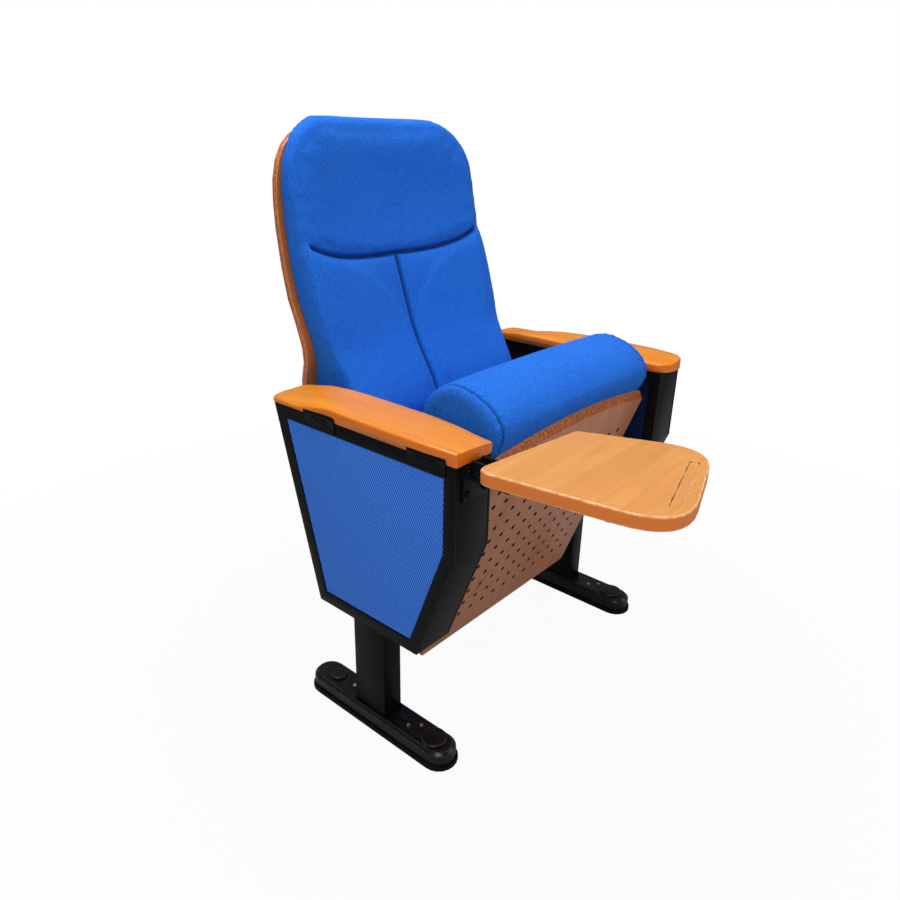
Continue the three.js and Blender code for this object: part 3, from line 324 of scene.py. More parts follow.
def grain_group() -> Tree:
    """Builds straight beech grain with fine pores, along the place's Y.

    Returns:
        A group that gives the broad figure and the pores from a place.
    """
    sheet, place, size, result = new_group(
        "beech grain", "Figure size", 0.02, "Figure", "Pores")
    scale = sheet.math("DIVIDE", 1.0, size)
    long_way = sheet.mapped(place, Scale=(1.0, 0.07, 1.0))
    figure = sheet.noise(long_way, scale, detail=5.0, Roughness=0.55, Distortion=0.6)
    streaks = sheet.noise(long_way, sheet.times(scale, 7.0), detail=2.0)
    both = sheet.math("ADD", sheet.times(figure, 0.7), sheet.times(streaks, 0.3))
    fine = sheet.mapped(place, Scale=(1.0, 0.12, 1.0))
    pore = sheet.cells(fine, 850.0, Randomness=1.0)
    sheet.give(result, Figure=sheet.span(both, 0.3, 0.7, 0.0, 1.0),
               Pores=sheet.span(pore, 0.05, 0.3, 1.0, 0.0))
    return sheet.tree


def rub_and_highlight_group() -> Tree:
    """Builds the lighter edges, partly rubbing and partly painted highlight, from the piece's own
    edge marks.

    Returns:
        A group that gives the share of lighter edge colour, partly rubbing and partly painted
        highlight.
    """
    sheet, place, amount, result = new_group("edge wear and highlight", "Amount", 0.5, "Rub")
    patches = sheet.noise(place, scale=70.0, detail=5.0, Roughness=0.7)
    patch = sheet.span(patches, 0.42, 0.62, 0.15, 1.0)
    sheet.give(result, Rub=sheet.times(sheet.times(sheet.mark(EDGE_MARK), patch), amount))
    return sheet.tree


class GroupShelf:
    """Makes each shader group once and hands it out."""

    makers: dict[str, Callable[[], Tree]] = {
        "twill": twill_group, "crepe": crepe_group, "grain": grain_group, "rub_and_highlight": rub_and_highlight_group}
    made: dict[str, Tree] = {}

    @classmethod
    def use(cls, sheet: NodeSheet, name: str, **inputs: object) -> Node:
        """Adds a group node to a sheet.

        Args:
            sheet: The sheet that the node goes into.
            name: The group's short name.
            **inputs: Socket values or sockets, by socket name with _ for a space.

        Returns:
            The group node.
        """
        if name not in cls.made:
            cls.made[name] = cls.makers[name]()
        return sheet.add("Group", {"node_tree": cls.made[name]}, **inputs)


@dataclass(frozen=True)
class Finish:
    """A surface finish that makes its material once."""

    name: str
    slot: Slot

    def material(self) -> bpy.types.Material:
        """Returns this finish's material, made at its first use.

        Returns:
            The material.
        """
        existing = bpy.data.materials.get(self.name)
        if existing is not None:
            return existing
        material = bpy.data.materials.new(self.name)
        material.use_nodes = True
        sheet = NodeSheet(material.node_tree)
        shader = material.node_tree.nodes["Principled BSDF"]
        self.paint(sheet, shader, sheet.add("TexCoord").outputs["Object"])
        return material

    def paint(self, sheet: NodeSheet, shader: Node, place: Socket) -> None:
        """Sets the shader's colour, gloss and relief from a place on the piece."""
        raise NotImplementedError

    @staticmethod
    def relief(sheet: NodeSheet, shader: Node, height: Socket, depth: float,
               strength: float) -> None:
        """Gives the shader a bump of a height, in metres, at a strength."""
        bump = sheet.add("Bump", Height=height, Distance=depth, Strength=strength)
        sheet.give(shader, Normal=bump.outputs["Normal"])


@dataclass(frozen=True)
class CushionCloth(Finish):
    """Royal blue upholstery with a fine pebbled weave."""

    deep: Color = linear(12, 70, 188)
    light: Color = linear(50, 142, 252)
    # painted shade: the colour that the seams' creases are darkened towards
    crease_shade: Color = linear(4, 26, 84)
    thread: float = 0.0026

    def paint(self, sheet: NodeSheet, shader: Node, place: Socket) -> None:
        """Mixes two blues by the weave, paints shade into the seams' creases and gives it a soft
        sheen.

        Args:
            sheet: The sheet of the material's nodes.
            shader: The material's main shader.
            place: Where on the piece a point lies.
        """
        weave = GroupShelf.use(sheet, "crepe", Place=place, Thread_size=self.thread).outputs
        share = sheet.math("ADD", sheet.times(weave["Height"], 0.5),
                           sheet.times(weave["Drift"], 0.4))
        color = sheet.blend(share, self.deep, self.light)
        # The seams' creases are painted darker by the seam mark: painted shade.
        sheet.give(shader, Base_Color=sheet.blend(sheet.mark(PAINTED_SEAM_SHADE), color, self.crease_shade),
                   Roughness=sheet.span(weave["Height"], 0, 1.4, 0.92, 0.74),
                   Sheen_Weight=0.1, Sheen_Roughness=0.42, Sheen_Tint=SHEEN_TINT,
                   Specular_IOR_Level=0.12)
        self.relief(sheet, shader, weave["Height"], depth=0.0009, strength=0.7)


@dataclass(frozen=True)
class PanelCloth(Finish):
    """Royal blue side panel cloth with diagonal ribs."""

    deep: Color = linear(34, 90, 228)
    light: Color = linear(100, 174, 255)
    rib: float = 0.0046
    lean: float = math.radians(30)

    def paint(self, sheet: NodeSheet, shader: Node, place: Socket) -> None:
        """Mixes two blues by the ribs of the weave.

        Args:
            sheet: The sheet of the material's nodes.
            shader: The material's main shader.
            place: Where on the piece a point lies.
        """
        turned = sheet.mapped(place, Rotation=(self.lean, 0, 0))
        weave = GroupShelf.use(sheet, "twill", Place=turned, Rib_pitch=self.rib).outputs
        sheet.give(shader, Base_Color=sheet.blend(weave["Fleck"], self.deep, self.light),
                   Roughness=sheet.span(weave["Height"], 0, 1, 0.95, 0.72),
                   Sheen_Weight=0.06, Sheen_Roughness=0.5, Sheen_Tint=SHEEN_TINT,
                   Specular_IOR_Level=0.1)
        self.relief(sheet, shader, weave["Height"], depth=0.0007, strength=0.6)


@dataclass(frozen=True)
class Wood(Finish):
    """Lacquered wood with grain along one axis and, on plywood, layered edges, with painted shade
    on hole and groove walls.
    """

    dark: Color
    light: Color
    run: GrainRun
    figure: float = 0.02
    layers: int = 0
    layer_dark: Color = linear(96, 44, 18)
    layer_light: Color = linear(206, 116, 58)
    fleck: float = 0.55
    # painted shade on the walls of drilled holes and grooves
    hole_shade: Color = linear(26, 17, 12)
    flank: Color | None = None
    # edges painted lighter, partly rubbing and partly painted highlight
    rub_and_highlight: float = 0.3
    rub_and_highlight_color: Color = linear(236, 170, 104)
    coat: float = 0.6
    roughness: float = 0.36
    gloss: float = 0.4

    def paint(self, sheet: NodeSheet, shader: Node, place: Socket) -> None:
        """Mixes two wood colours by the grain, paints shade on hole and groove walls, lightens the
        edges as rubbing and painted highlight and adds the lacquer.

        Args:
            sheet: The sheet of the material's nodes.
            shader: The material's main shader.
            place: Where on the piece a point lies.
        """
        along = sheet.mapped(place, Rotation=self.run.value)
        grain = GroupShelf.use(sheet, "grain", Place=along, Figure_size=self.figure).outputs
        color = sheet.blend(grain["Figure"], self.dark, self.light)
        color = sheet.blend(sheet.times(grain["Pores"], 0.12), color, self.layer_dark)
        if self.flank is not None:
            color = sheet.blend(self.on_flanks(sheet), color, self.flank)
        if self.layers:
            color = self.plies(sheet, place, color)
        # Walls of holes and grooves are painted dark: painted shade.
        in_hole = sheet.math("LESS_THAN", sheet.mark(PLY_DEPTH), IN_HOLE * 0.4)
        color = sheet.blend(in_hole, color, self.hole_shade)
        # Edges painted lighter, partly rubbing and partly painted highlight.
        rub_and_highlight = GroupShelf.use(sheet, "rub_and_highlight", Place=place, Amount=self.rub_and_highlight).outputs["Rub"]
        sheet.give(shader, Base_Color=sheet.blend(rub_and_highlight, color, self.rub_and_highlight_color),
                   Roughness=sheet.span(grain["Figure"], 0, 1, self.roughness - 0.05,
                                        self.roughness + 0.07),
                   Coat_Weight=self.coat, Coat_Roughness=0.16, Specular_IOR_Level=self.gloss)
        self.relief(sheet, shader, grain["Pores"], depth=-0.0002, strength=0.35)

    @staticmethod
    def on_flanks(sheet: NodeSheet) -> Socket:
        """Returns how far a point's own normal leans away from the board's faces."""
        normal = sheet.add("TexCoord").outputs["Normal"]
        upright = sheet.math("ABSOLUTE", sheet.add("SeparateXYZ", Vector=normal).outputs["Z"])
        return sheet.span(upright, 0.3, 0.8, 0.8, 0.0)

    def plies(self, sheet: NodeSheet, place: Socket, face: Socket) -> Socket:
        """Returns the face colour with the edge's veneer layers laid over it.

        Args:
            sheet: The sheet of the material's nodes.
            place: Where on the piece a point lies.
            face: The face's colour.

        Returns:
            The colour with the layers.
        """
        depth = sheet.mark(PLY_DEPTH)
        ragged = sheet.noise(place, scale=420.0, detail=3.0)
        uneven = sheet.math("ADD", depth, sheet.span(ragged, 0, 1, -0.05, 0.05))
        stripe = sheet.math("SINE", sheet.times(uneven, self.layers * math.pi))
        dark = sheet.span(stripe, -0.3, 0.4, 0.7, 0.0)
        speckle = sheet.span(sheet.noise(place, scale=240.0, detail=3.0), 0.44, 0.58, 0.0, 1.0)
        share = sheet.math("MAXIMUM", sheet.times(dark, speckle),
                           sheet.times(speckle, self.fleck))
        layered = sheet.blend(share, self.layer_light, self.layer_dark)
        inside = sheet.times(sheet.math("GREATER_THAN", depth, 0.03),
                             sheet.math("LESS_THAN", depth, 0.97))
        return sheet.blend(inside, face, layered)


@dataclass(frozen=True)
class PowderCoat(Finish):
    """Satin black powder coat with a faint orange-peel and edges painted lighter, partly rubbing
    and partly painted highlight.
    """

    base: Color = linear(10, 12, 14)
    rub_and_highlight_color: Color = linear(48, 50, 54)
    roughness: float = 0.36

    def paint(self, sheet: NodeSheet, shader: Node, place: Socket) -> None:
        """Sets a dark coat whose gloss drifts and whose edges are painted lighter, partly rubbing
        and partly painted highlight.

        Args:
            sheet: The sheet of the material's nodes.
            shader: The material's main shader.
            place: Where on the piece a point lies.
        """
        peel = sheet.noise(place, scale=900.0, detail=2.0)
        clouds = sheet.noise(place, scale=14.0, detail=4.0)
        # Edges painted lighter, partly rubbing and partly painted highlight.
        rub_and_highlight = GroupShelf.use(sheet, "rub_and_highlight", Place=place, Amount=0.25).outputs["Rub"]
        tone = sheet.blend(clouds, self.base, scaled(self.base, 1.25))
        sheet.give(shader, Base_Color=sheet.blend(rub_and_highlight, tone, self.rub_and_highlight_color),
                   Roughness=sheet.span(clouds, 0.3, 0.7, self.roughness - 0.03,
                                        self.roughness + 0.05),
                   Specular_IOR_Level=0.11)
        self.relief(sheet, shader, peel, depth=0.0002, strength=0.25)


@dataclass(frozen=True)
class MouldedPlastic(Finish):
    """Plastic or rubber with a fine moulded grain and edges painted lighter, as painted highlight
    with some rubbing.
    """

    base: Color = linear(12, 13, 15)
    roughness: float = 0.26
    cell: float = 0.0009

    def paint(self, sheet: NodeSheet, shader: Node, place: Socket) -> None:
        """Sets a plain colour with a leathery grain and lighter edges, painted highlight with some
        rubbing.

        Args:
            sheet: The sheet of the material's nodes.
            shader: The material's main shader.
            place: Where on the piece a point lies.
        """
        cells = sheet.cells(place, 1 / self.cell, "SMOOTH_F1", Smoothness=0.4)
        clouds = sheet.noise(place, scale=25.0, detail=3.0)
        # Edges painted lighter: a painted rim highlight with some rubbing.
        rub_and_highlight = GroupShelf.use(sheet, "rub_and_highlight", Place=place, Amount=0.5).outputs["Rub"]
        tone = sheet.blend(clouds, self.base, scaled(self.base, 1.4))
        sheet.give(shader, Base_Color=sheet.blend(rub_and_highlight, tone, scaled(self.base, 3, lift=0.06)),
                   Roughness=sheet.span(clouds, 0.3, 0.7, self.roughness - 0.05,
                                        self.roughness + 0.1),
                   Specular_IOR_Level=0.4)
        self.relief(sheet, shader, cells, depth=0.0002, strength=0.25)


@dataclass(frozen=True)
class PlatedSteel(Finish):
    """Bright zinc plate with a faint crystalline bloom."""

    base: Color = (0.55, 0.56, 0.58)

    def paint(self, sheet: NodeSheet, shader: Node, place: Socket) -> None:
        """Sets a metal whose brightness and gloss vary in small crystals."""
        crystals = sheet.cells(place, 260.0)
        clouds = sheet.noise(place, scale=40.0, detail=3.0)
        sheet.give(shader, Base_Color=sheet.blend(crystals, self.base, scaled(self.base, 0.78)),
                   Roughness=sheet.span(clouds, 0.3, 0.7, 0.24, 0.4), Metallic=1.0)


CLOTH = CushionCloth("royal blue crepe", Slot.BLUE_CLOTH)
THREAD = CushionCloth("seam thread", Slot.BLUE_CLOTH, deep=linear(10, 54, 142),
                      light=linear(18, 80, 180), thread=0.0007)
PANEL = PanelCloth("royal blue twill", Slot.PANEL_CLOTH)
# The inner panels' darker blues are painted shade: the same twill coloured as it looks in the
# box's shadow.
SHADED_INNER_PANEL = PanelCloth("shaded inner twill", Slot.PANEL_CLOTH, deep=linear(8, 16, 40),
                         light=linear(18, 34, 78))
ARM_WOOD = Wood(
    "arm beech", Slot.ARM_WOOD, linear(222, 124, 18), linear(250, 158, 38), GrainRun.ALONG_Y,
    figure=0.022, flank=linear(250, 122, 24), rub_and_highlight=0.6, rub_and_highlight_color=linear(255, 206, 136), coat=0.22)
# The walls of the tablet's pen groove get painted shade.
TABLET_WOOD = Wood(
    "tablet beech", Slot.TABLET_WOOD, linear(210, 138, 66), linear(230, 160, 88),
    GrainRun.ALONG_X, figure=0.03, hole_shade=linear(84, 40, 14), flank=linear(250, 130, 44),
    rub_and_highlight=0.9, rub_and_highlight_color=linear(252, 204, 146), coat=0.15, roughness=0.46, gloss=0.3)
SEAT_PLY = Wood(
    "seat plywood", Slot.SEAT_PLY, linear(184, 118, 88), linear(212, 148, 114),
    GrainRun.ALONG_SEAT, figure=0.05, layers=7, rub_and_highlight_color=linear(190, 128, 90), coat=0.08,
    roughness=0.44, gloss=0.2)
BACK_PLY = Wood(
    "back plywood", Slot.BACK_PLY, linear(176, 88, 36), linear(208, 118, 54), GrainRun.ALONG_Z,
    figure=0.03, layers=7, layer_light=linear(222, 132, 74), fleck=0.2, rub_and_highlight=0.7, coat=0.25)
BLACK_STEEL = PowderCoat("satin black coat", Slot.BLACK_STEEL)
BLACK_PLASTIC = MouldedPlastic("black moulding", Slot.BLACK_PLASTIC)
RUBBER = MouldedPlastic("black rubber", Slot.RUBBER, linear(14, 14, 15), 0.34, cell=0.0014)
NYLON = MouldedPlastic("natural nylon", Slot.NYLON, (0.7, 0.68, 0.61), 0.4, cell=0.002)
ZINC = PlatedSteel("zinc plate", Slot.ZINC_STEEL)


# ---- Mesh building


def put(name: str, data: bpy.types.ID) -> Object:
    """Returns a new object of some data, put in the scene."""
    obj = bpy.data.objects.new(name, data)
    bpy.context.scene.collection.objects.link(obj)
    return obj


def stored(name: str, mesh: BMesh) -> Mesh:
    """Returns new mesh data of a mesh, which is freed."""
    data = bpy.data.meshes.new(name)
    mesh.to_mesh(data)
    mesh.free()
    return data


@dataclass(frozen=True)
class Head:
    """A screw or bolt head, round or with six sides, with a drive recess or none."""

    radius: float
    height: float
    sides: int = 20
    drive: int = 0

    def add_to(self, mesh: BMesh, place: Matrix) -> None:
        """Adds the head to a mesh.

        Args:
            mesh: The mesh that it goes into.
            place: Where its foot is, with +Z out of it.
        """
        rim = bmesh.ops.create_circle(
            mesh, cap_ends=True, radius=self.radius, segments=self.sides)["verts"]
        lifted = bmesh.ops.extrude_face_region(mesh, geom=[rim[0].link_faces[0]])["geom"]
        raised = [g for g in lifted if isinstance(g, BMVert)]
        bmesh.ops.translate(mesh, vec=(0, 0, self.height), verts=raised)
        top = next(g for g in lifted if isinstance(g, BMFace))
        made = bmesh.ops.bevel(
            mesh, geom=list(top.edges), offset=self.height * 0.35, offset_type="OFFSET",
            segments=2, profile=0.5, affect="EDGES", material=-1)
        parts = {v for f in made["faces"] for v in f.verts} | set(rim)
        parts |= {v for v in raised if v.is_valid}
        top = max((f for v in parts for f in v.link_faces),
                  key=lambda f: f.calc_center_median().z)
        if self.drive:
            ring = bmesh.ops.inset_region(
                mesh, faces=[top], thickness=self.radius * 0.42)["faces"]
            parts |= {v for f in ring for v in f.verts}
            sunk = bmesh.ops.extrude_face_region(mesh, geom=[top])["geom"]
            sunk_verts = [g for g in sunk if isinstance(g, BMVert)]
            bmesh.ops.translate(mesh, vec=(0, 0, -self.height * 0.55), verts=sunk_verts)
            bmesh.ops.delete(mesh, geom=[top], context="FACES_ONLY")
            parts |= set(sunk_verts)
        bmesh.ops.transform(mesh, matrix=place, verts=[v for v in parts if v.is_valid])


class Workbench:
    """Turns meshes into finished pieces of the seat."""

    def __init__(self, frame: dict) -> None:
        """Keeps the fixed model and finds the drawing's middle.
        """
        self.nodes: dict[str, Object] = frame["nodes"]
        self.count = 0
        right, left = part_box("right_foot_plate"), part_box("left_foot_plate")
        self.middle = Vector(((right[0].x + left[1].x) / 2,
                              (right[0].y + right[1].y) / 2 - STAND_MIDDLE_Y, 0.0))

    def at(self, x: float, y: float, z: float) -> Vector:
        """Returns a place given from the point under the seat's middle plane."""
        return self.middle + Vector((x, y, z))

    def finish_piece(self, name: str, data: Mesh, body: Body, finish: Finish,
                     replaces: Sequence[str] = ()) -> Object:
        """Makes an object from mesh data, dresses it and puts it on its body.

        Args:
            name: The piece's name.
            data: Its mesh data.
            body: The body that it rides on.
            finish: Its finish.
            replaces: The model nodes that it stands for.

        Returns:
            The finished object.
        """
        data.materials.clear()
        data.materials.append(finish.material())
        obj = put(name, data)
        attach(obj, body.value)
        if replaces:
            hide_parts(*replaces)
        self.count += 1
        log.info("%s: %d faces on %s", name, len(data.polygons), body.value)
        return obj

    def dress(self, finish: Finish, *names: str) -> None:
        """Gives model nodes that keep their shape a finish."""
        for name in names:
            data = self.nodes[name].data
            data.materials.clear()
            data.materials.append(finish.material())

    def copy_of(self, *names: str) -> BMesh:
        """Returns a merged copy of model nodes' meshes."""
        mesh = bmesh.new()
        for name in names:
            mesh.from_mesh(self.nodes[name].data)
        bmesh.ops.remove_doubles(mesh, verts=mesh.verts, dist=WELD)
        return mesh

    def surface_of(self, *names: str) -> BVHTree:
        """Returns a search tree of model nodes' surfaces."""
        mesh = self.copy_of(*names)
        tree = BVHTree.FromBMesh(mesh)
        mesh.free()
        return tree

    def eased(self, name: str, body: Body, finish: Finish, radius: float, segments: int = 2,
              least: float = 28.0, plies: Vector | None = None) -> Object:
        """Makes a copy of a node with flat faces joined and sharp edges rounded.

        Args:
            name: The node that the copy stands for.
            body: The body that it rides on.
            finish: Its finish.
            radius: Radius of the rounded edges.
            segments: Steps of each rounded edge.
            least: Smallest angle, in degrees, of an edge that is rounded.
            plies: Outward direction of a board's rear face, if its layers or holes are marked.

        Returns:
            The finished object.
        """
        mesh = self.copy_of(name)
        mesh.loops.layers.float.new(EDGE_MARK)
        mesh.loops.layers.float.new(PLY_DEPTH)
        bmesh.ops.dissolve_limit(mesh, angle_limit=math.radians(FLAT_ANGLE), verts=mesh.verts,
                                 edges=mesh.edges)
        sharp = [e for e in mesh.edges
                 if e.is_manifold and e.calc_face_angle(0.0) > math.radians(least)]
        before = set(mesh.faces)
        made = bmesh.ops.bevel(
            mesh, geom=sharp, offset=radius, offset_type="OFFSET", segments=segments,
            profile=0.5, affect="EDGES", clamp_overlap=True, material=-1)
        # The rounded edges are marked for the lighter edge paint, partly rubbing and partly
        # painted highlight.
        layer = mesh.loops.layers.float[EDGE_MARK]
        for face in made["faces"]:
            if face.is_valid and face not in before:
                for loop in face.loops:
                    loop[layer] = 1.0
        if plies is not None:
            mark_plies(mesh, plies)
        soften(mesh, 40.0)
        title = f"{name}_dressed"
        return self.finish_piece(title, stored(title, mesh), body, finish, [name])

    def fasten(self, name: str, head: Head, spots: Iterable[tuple[Vector, Vector]],
               body: Body, finish: Finish) -> None:
        """Makes one piece of a few like screw or bolt heads.

        Args:
            name: The piece's name.
            head: The head.
            spots: Each head's foot and the direction that it points.
            body: The body that the piece rides on.
            finish: Its finish.
        """
        mesh = bmesh.new()
        for place, direction in spots:
            head.add_to(mesh, aim(place, direction))
        soften(mesh, HEAD_ANGLE)
        self.finish_piece(name, stored(name, mesh), body, finish)


def mark_plies(mesh: BMesh, outward: Vector) -> None:
    """Writes each corner's share of the way through a plywood piece, and -1 in its holes, whose
    walls the wood paints with painted shade.

    Args:
        mesh: The plywood piece.
        outward: The direction that its rear face points.
    """
    mesh.normal_update()
    surface = BVHTree.FromBMesh(mesh)
    rear = [f for f in mesh.faces if f.normal.dot(outward) > 0.6]
    lookup: dict[BMVert, int] = {}
    for face in rear:
        for vert in face.verts:
            lookup.setdefault(vert, len(lookup))
    tree = BVHTree.FromPolygons(
        [v.co.copy() for v in lookup], [[lookup[v] for v in f.verts] for f in rear])
    far = {v: (tree.find_nearest(v.co)[3] or 0.0) for v in mesh.verts}
    thickness = max(far.values())
    layer = mesh.loops.layers.float[PLY_DEPTH]
    for face in mesh.faces:
        in_hole = is_in_hole(face, outward, surface)
        for loop in face.loops:
            loop[layer] = IN_HOLE if in_hole else far[loop.vert] / thickness


def is_in_hole(face: BMFace, outward: Vector, surface: BVHTree) -> bool:
    """Tells whether a face is the wall of a bored hole.

    Args:
        face: A face of a plywood piece.
        outward: The direction that the piece's rear face points.
        surface: The piece's surface.

    Returns:
        True for a wall that faces the hole's other side.
    """
    lean = face.normal.dot(outward)
    if abs(lean) > 0.9:
        return False
    across = (face.normal - outward * lean).normalized()
    start = face.calc_center_median() + across * 1e-4
    return surface.ray_cast(start, across, HOLE_SPAN)[0] is not None


def soften(mesh: BMesh, angle: float) -> None:
    """Shades a mesh smooth except at edges sharper than an angle in degrees."""
    for face in mesh.faces:
        face.smooth = True
    for edge in mesh.edges:
        edge.smooth = edge.is_manifold and edge.calc_face_angle(0.0) < math.radians(angle)


def aim(place: Vector, direction: Vector) -> Matrix:
    """Returns the matrix that moves the origin to a place and turns +Z to a direction."""
    return Matrix.Translation(place) @ direction.to_track_quat("Z", "Y").to_matrix().to_4x4()


def slice_outline(data: Mesh, x: float) -> list[Vector]:
    """Returns the closed outline of a mesh where an upright plane cuts it.

    Args:
        data: The mesh.
        x: The plane's place along X.

    Returns:
        The outline's points in order.
    """
    mesh = bmesh.new()
    mesh.from_mesh(data)
    bmesh.ops.bisect_plane(
        mesh, geom=[*mesh.verts, *mesh.edges, *mesh.faces], plane_co=(x, 0, 0),
        plane_no=(1, 0, 0), clear_inner=True, clear_outer=True)
    best: list[Vector] = []
    left = {v for v in mesh.verts if len(v.link_edges) == 2}
    while left:
        vert = min(left, key=lambda v: (v.co.y, v.co.z))
        loop = []
        while vert is not None and vert in left:
            left.discard(vert)
            loop.append(vert.co.copy())
            beside = (e.other_vert(vert) for e in vert.link_edges)
            vert = next((v for v in beside if v in left), None)
        if len(loop) > len(best):
            best = loop
    mesh.free()
    return best


def spaced(points: Sequence[Vector], pitch: float) -> list[tuple[Vector, Vector]]:
    """Returns places and directions at an even pitch along a closed outline.

    Args:
        points: The outline's points in order.
        pitch: Distance from one place to the next.

    Returns:
        Each place with the direction that the outline runs there.
    """
    places = []
    carried = 0.0
    for start, end in zip(points, [*points[1:], points[0]]):
        run = end - start
        length = run.length
        while carried < length:
            places.append((start + run * (carried / length), run.normalized()))
            carried += pitch
        carried -= length
    return places


def shift_along_normals(data: Mesh, shifts: Sequence[float]) -> None:
    """Moves each vertex of a mesh along its own normal.

    Args:
        data: The mesh.
        shifts: How far each vertex moves outward.
    """
    normals = [v.normal.copy() for v in data.vertices]
    for vert, normal, shift in zip(data.vertices, normals, shifts):
        if shift:
            vert.co += normal * shift


def refine(data: Mesh, near: Callable[[Vector], bool]) -> None:
    """Splits a mesh's edges where a seam is sewn into it.

    Args:
        data: The mesh.
        near: Tells whether a place lies by a seam.
    """
    mesh = bmesh.new()
    mesh.from_mesh(data)
    edges = [e for e in mesh.edges if near((e.verts[0].co + e.verts[1].co) / 2)]
    bmesh.ops.subdivide_edges(mesh, edges=edges, cuts=1, use_grid_fill=True)
    mesh.to_mesh(data)
    mesh.free()


def paint_seam_shade(data: Mesh, shares: Sequence[float]) -> None:
    """Writes each vertex's share of painted shade, which grows deeper in a seam, from 0 to 1, and
    shades the mesh smooth.
    """
    marks = data.attributes.new(PAINTED_SEAM_SHADE, "FLOAT", "POINT")
    marks.data.foreach_set("value", list(shares))
    data.shade_smooth()


def rests_on(board: BVHTree, place: Vector, reach: float) -> bool:
    """Tells whether a place lies within a reach of a board."""
    distance = board.find_nearest(place)[3]
    return distance is not None and distance < reach


@dataclass(frozen=True)
class Padding:
    """Swells a closed form as a foam-filled cover does."""

    voxel: float = 0.006
    evening: int = 4
    front_evening: int = 0
    pressure: float = 4.0
    cap: float = 0.006
    lift: float = 0.002
    spread: tuple[float, float, float] = (0.35, 1.0, 1.0)
    frames: int = 20
    plain_swell: float = 0.003

    def evaluated(self, obj: Object) -> Mesh:
        """Returns a new mesh of an object as its modifiers leave it."""
        graph = bpy.context.evaluated_depsgraph_get()
        return bpy.data.meshes.new_from_object(obj.evaluated_get(graph))

    def with_modifier(self, obj: Object, kind: str, **settings: object) -> None:
        """Applies one modifier to an object's mesh for good."""
        modifier = obj.modifiers.new("step", kind)
        for name, value in settings.items():
            setattr(modifier, name, value)
        data = self.evaluated(obj)
        obj.modifiers.clear()
        obj.data = data

    def swell(self, mesh: BMesh, held: Callable[[Vector, Vector], float]) -> Mesh:
        """Remeshes, presses out and subdivides a form.

        Args:
            mesh: The closed form, which is freed.
            held: Gives how firmly the cover is held at a place with a normal, from 0 to 1.

        Returns:
            The padded mesh.
        """
        obj = put("cover", stored("cover", mesh))
        self.with_modifier(obj, "REMESH", mode="VOXEL", voxel_size=self.voxel)
        self.with_modifier(obj, "SMOOTH", factor=0.5, iterations=self.evening)
        if self.front_evening:
            self.even_front(obj)
        grips = [held(v.co, v.normal) for v in obj.data.vertices]
        self.press_out(obj, grips, [v.co.copy() for v in obj.data.vertices])
        self.with_modifier(obj, "SMOOTH", factor=0.4, iterations=self.evening // 2)
        self.with_modifier(obj, "SUBSURF", levels=1, render_levels=1)
        result = obj.data
        bpy.data.objects.remove(obj)
        return result

    def even_front(self, obj: Object) -> None:
        """Evens the depth of the face that points forward and leaves its outline.

        Args:
            obj: The cover.
        """
        group = obj.vertex_groups.new(name="front")
        for vert in obj.data.vertices:
            share = (-vert.normal.y - 0.7) / 0.2
            if share > 0:
                group.add([vert.index], min(1.0, share), "REPLACE")
        self.with_modifier(obj, "SMOOTH", factor=0.5, iterations=self.front_evening,
                           vertex_group=group.name, use_x=False, use_z=False)
        obj.vertex_groups.clear()

    def press_out(self, obj: Object, grips: Sequence[float], start: Sequence[Vector]) -> None:
        """Runs the cloth under pressure and keeps each point's outward move within the cap.

        Args:
            obj: The cover.
            grips: How firmly each vertex is held, from 0 to 1.
            start: Where each vertex is before.
        """
        outward = [v.normal.copy() for v in obj.data.vertices]
        group = obj.vertex_groups.new(name="held")
        for index, grip in enumerate(grips):
            if grip > 0:
                group.add([index], grip, "REPLACE")
        cloth = obj.modifiers.new("cloth", "CLOTH")
        settings = cloth.settings
        settings.quality = 3
        settings.mass = 0.25
        settings.tension_stiffness = 12
        settings.compression_stiffness = 12
        settings.shear_stiffness = 5
        settings.bending_stiffness = 4.0
        settings.use_pressure = True
        settings.uniform_pressure_force = self.pressure
        settings.vertex_group_mass = group.name
        settings.effector_weights.gravity = 0.0
        cloth.collision_settings.use_collision = False
        cloth.point_cache.frame_start = 1
        cloth.point_cache.frame_end = self.frames
        scene = bpy.context.scene
        for step in range(1, self.frames + 1):
            scene.frame_set(step)
        pressed = self.evaluated(obj)
        obj.modifiers.clear()
        for vert, moved, origin, normal, grip in zip(
                obj.data.vertices, pressed.vertices, start, outward, grips):
            move = moved.co - origin
            move += normal * (self.lift * (1 - grip) - min(0.0, move.dot(normal)))
            if move.length > self.cap:
                move *= self.cap / move.length
            vert.co = origin + move * Vector(self.spread)
        obj.vertex_groups.clear()
        bpy.data.meshes.remove(pressed)
        scene.frame_set(1)


# ---- Sub-assemblies


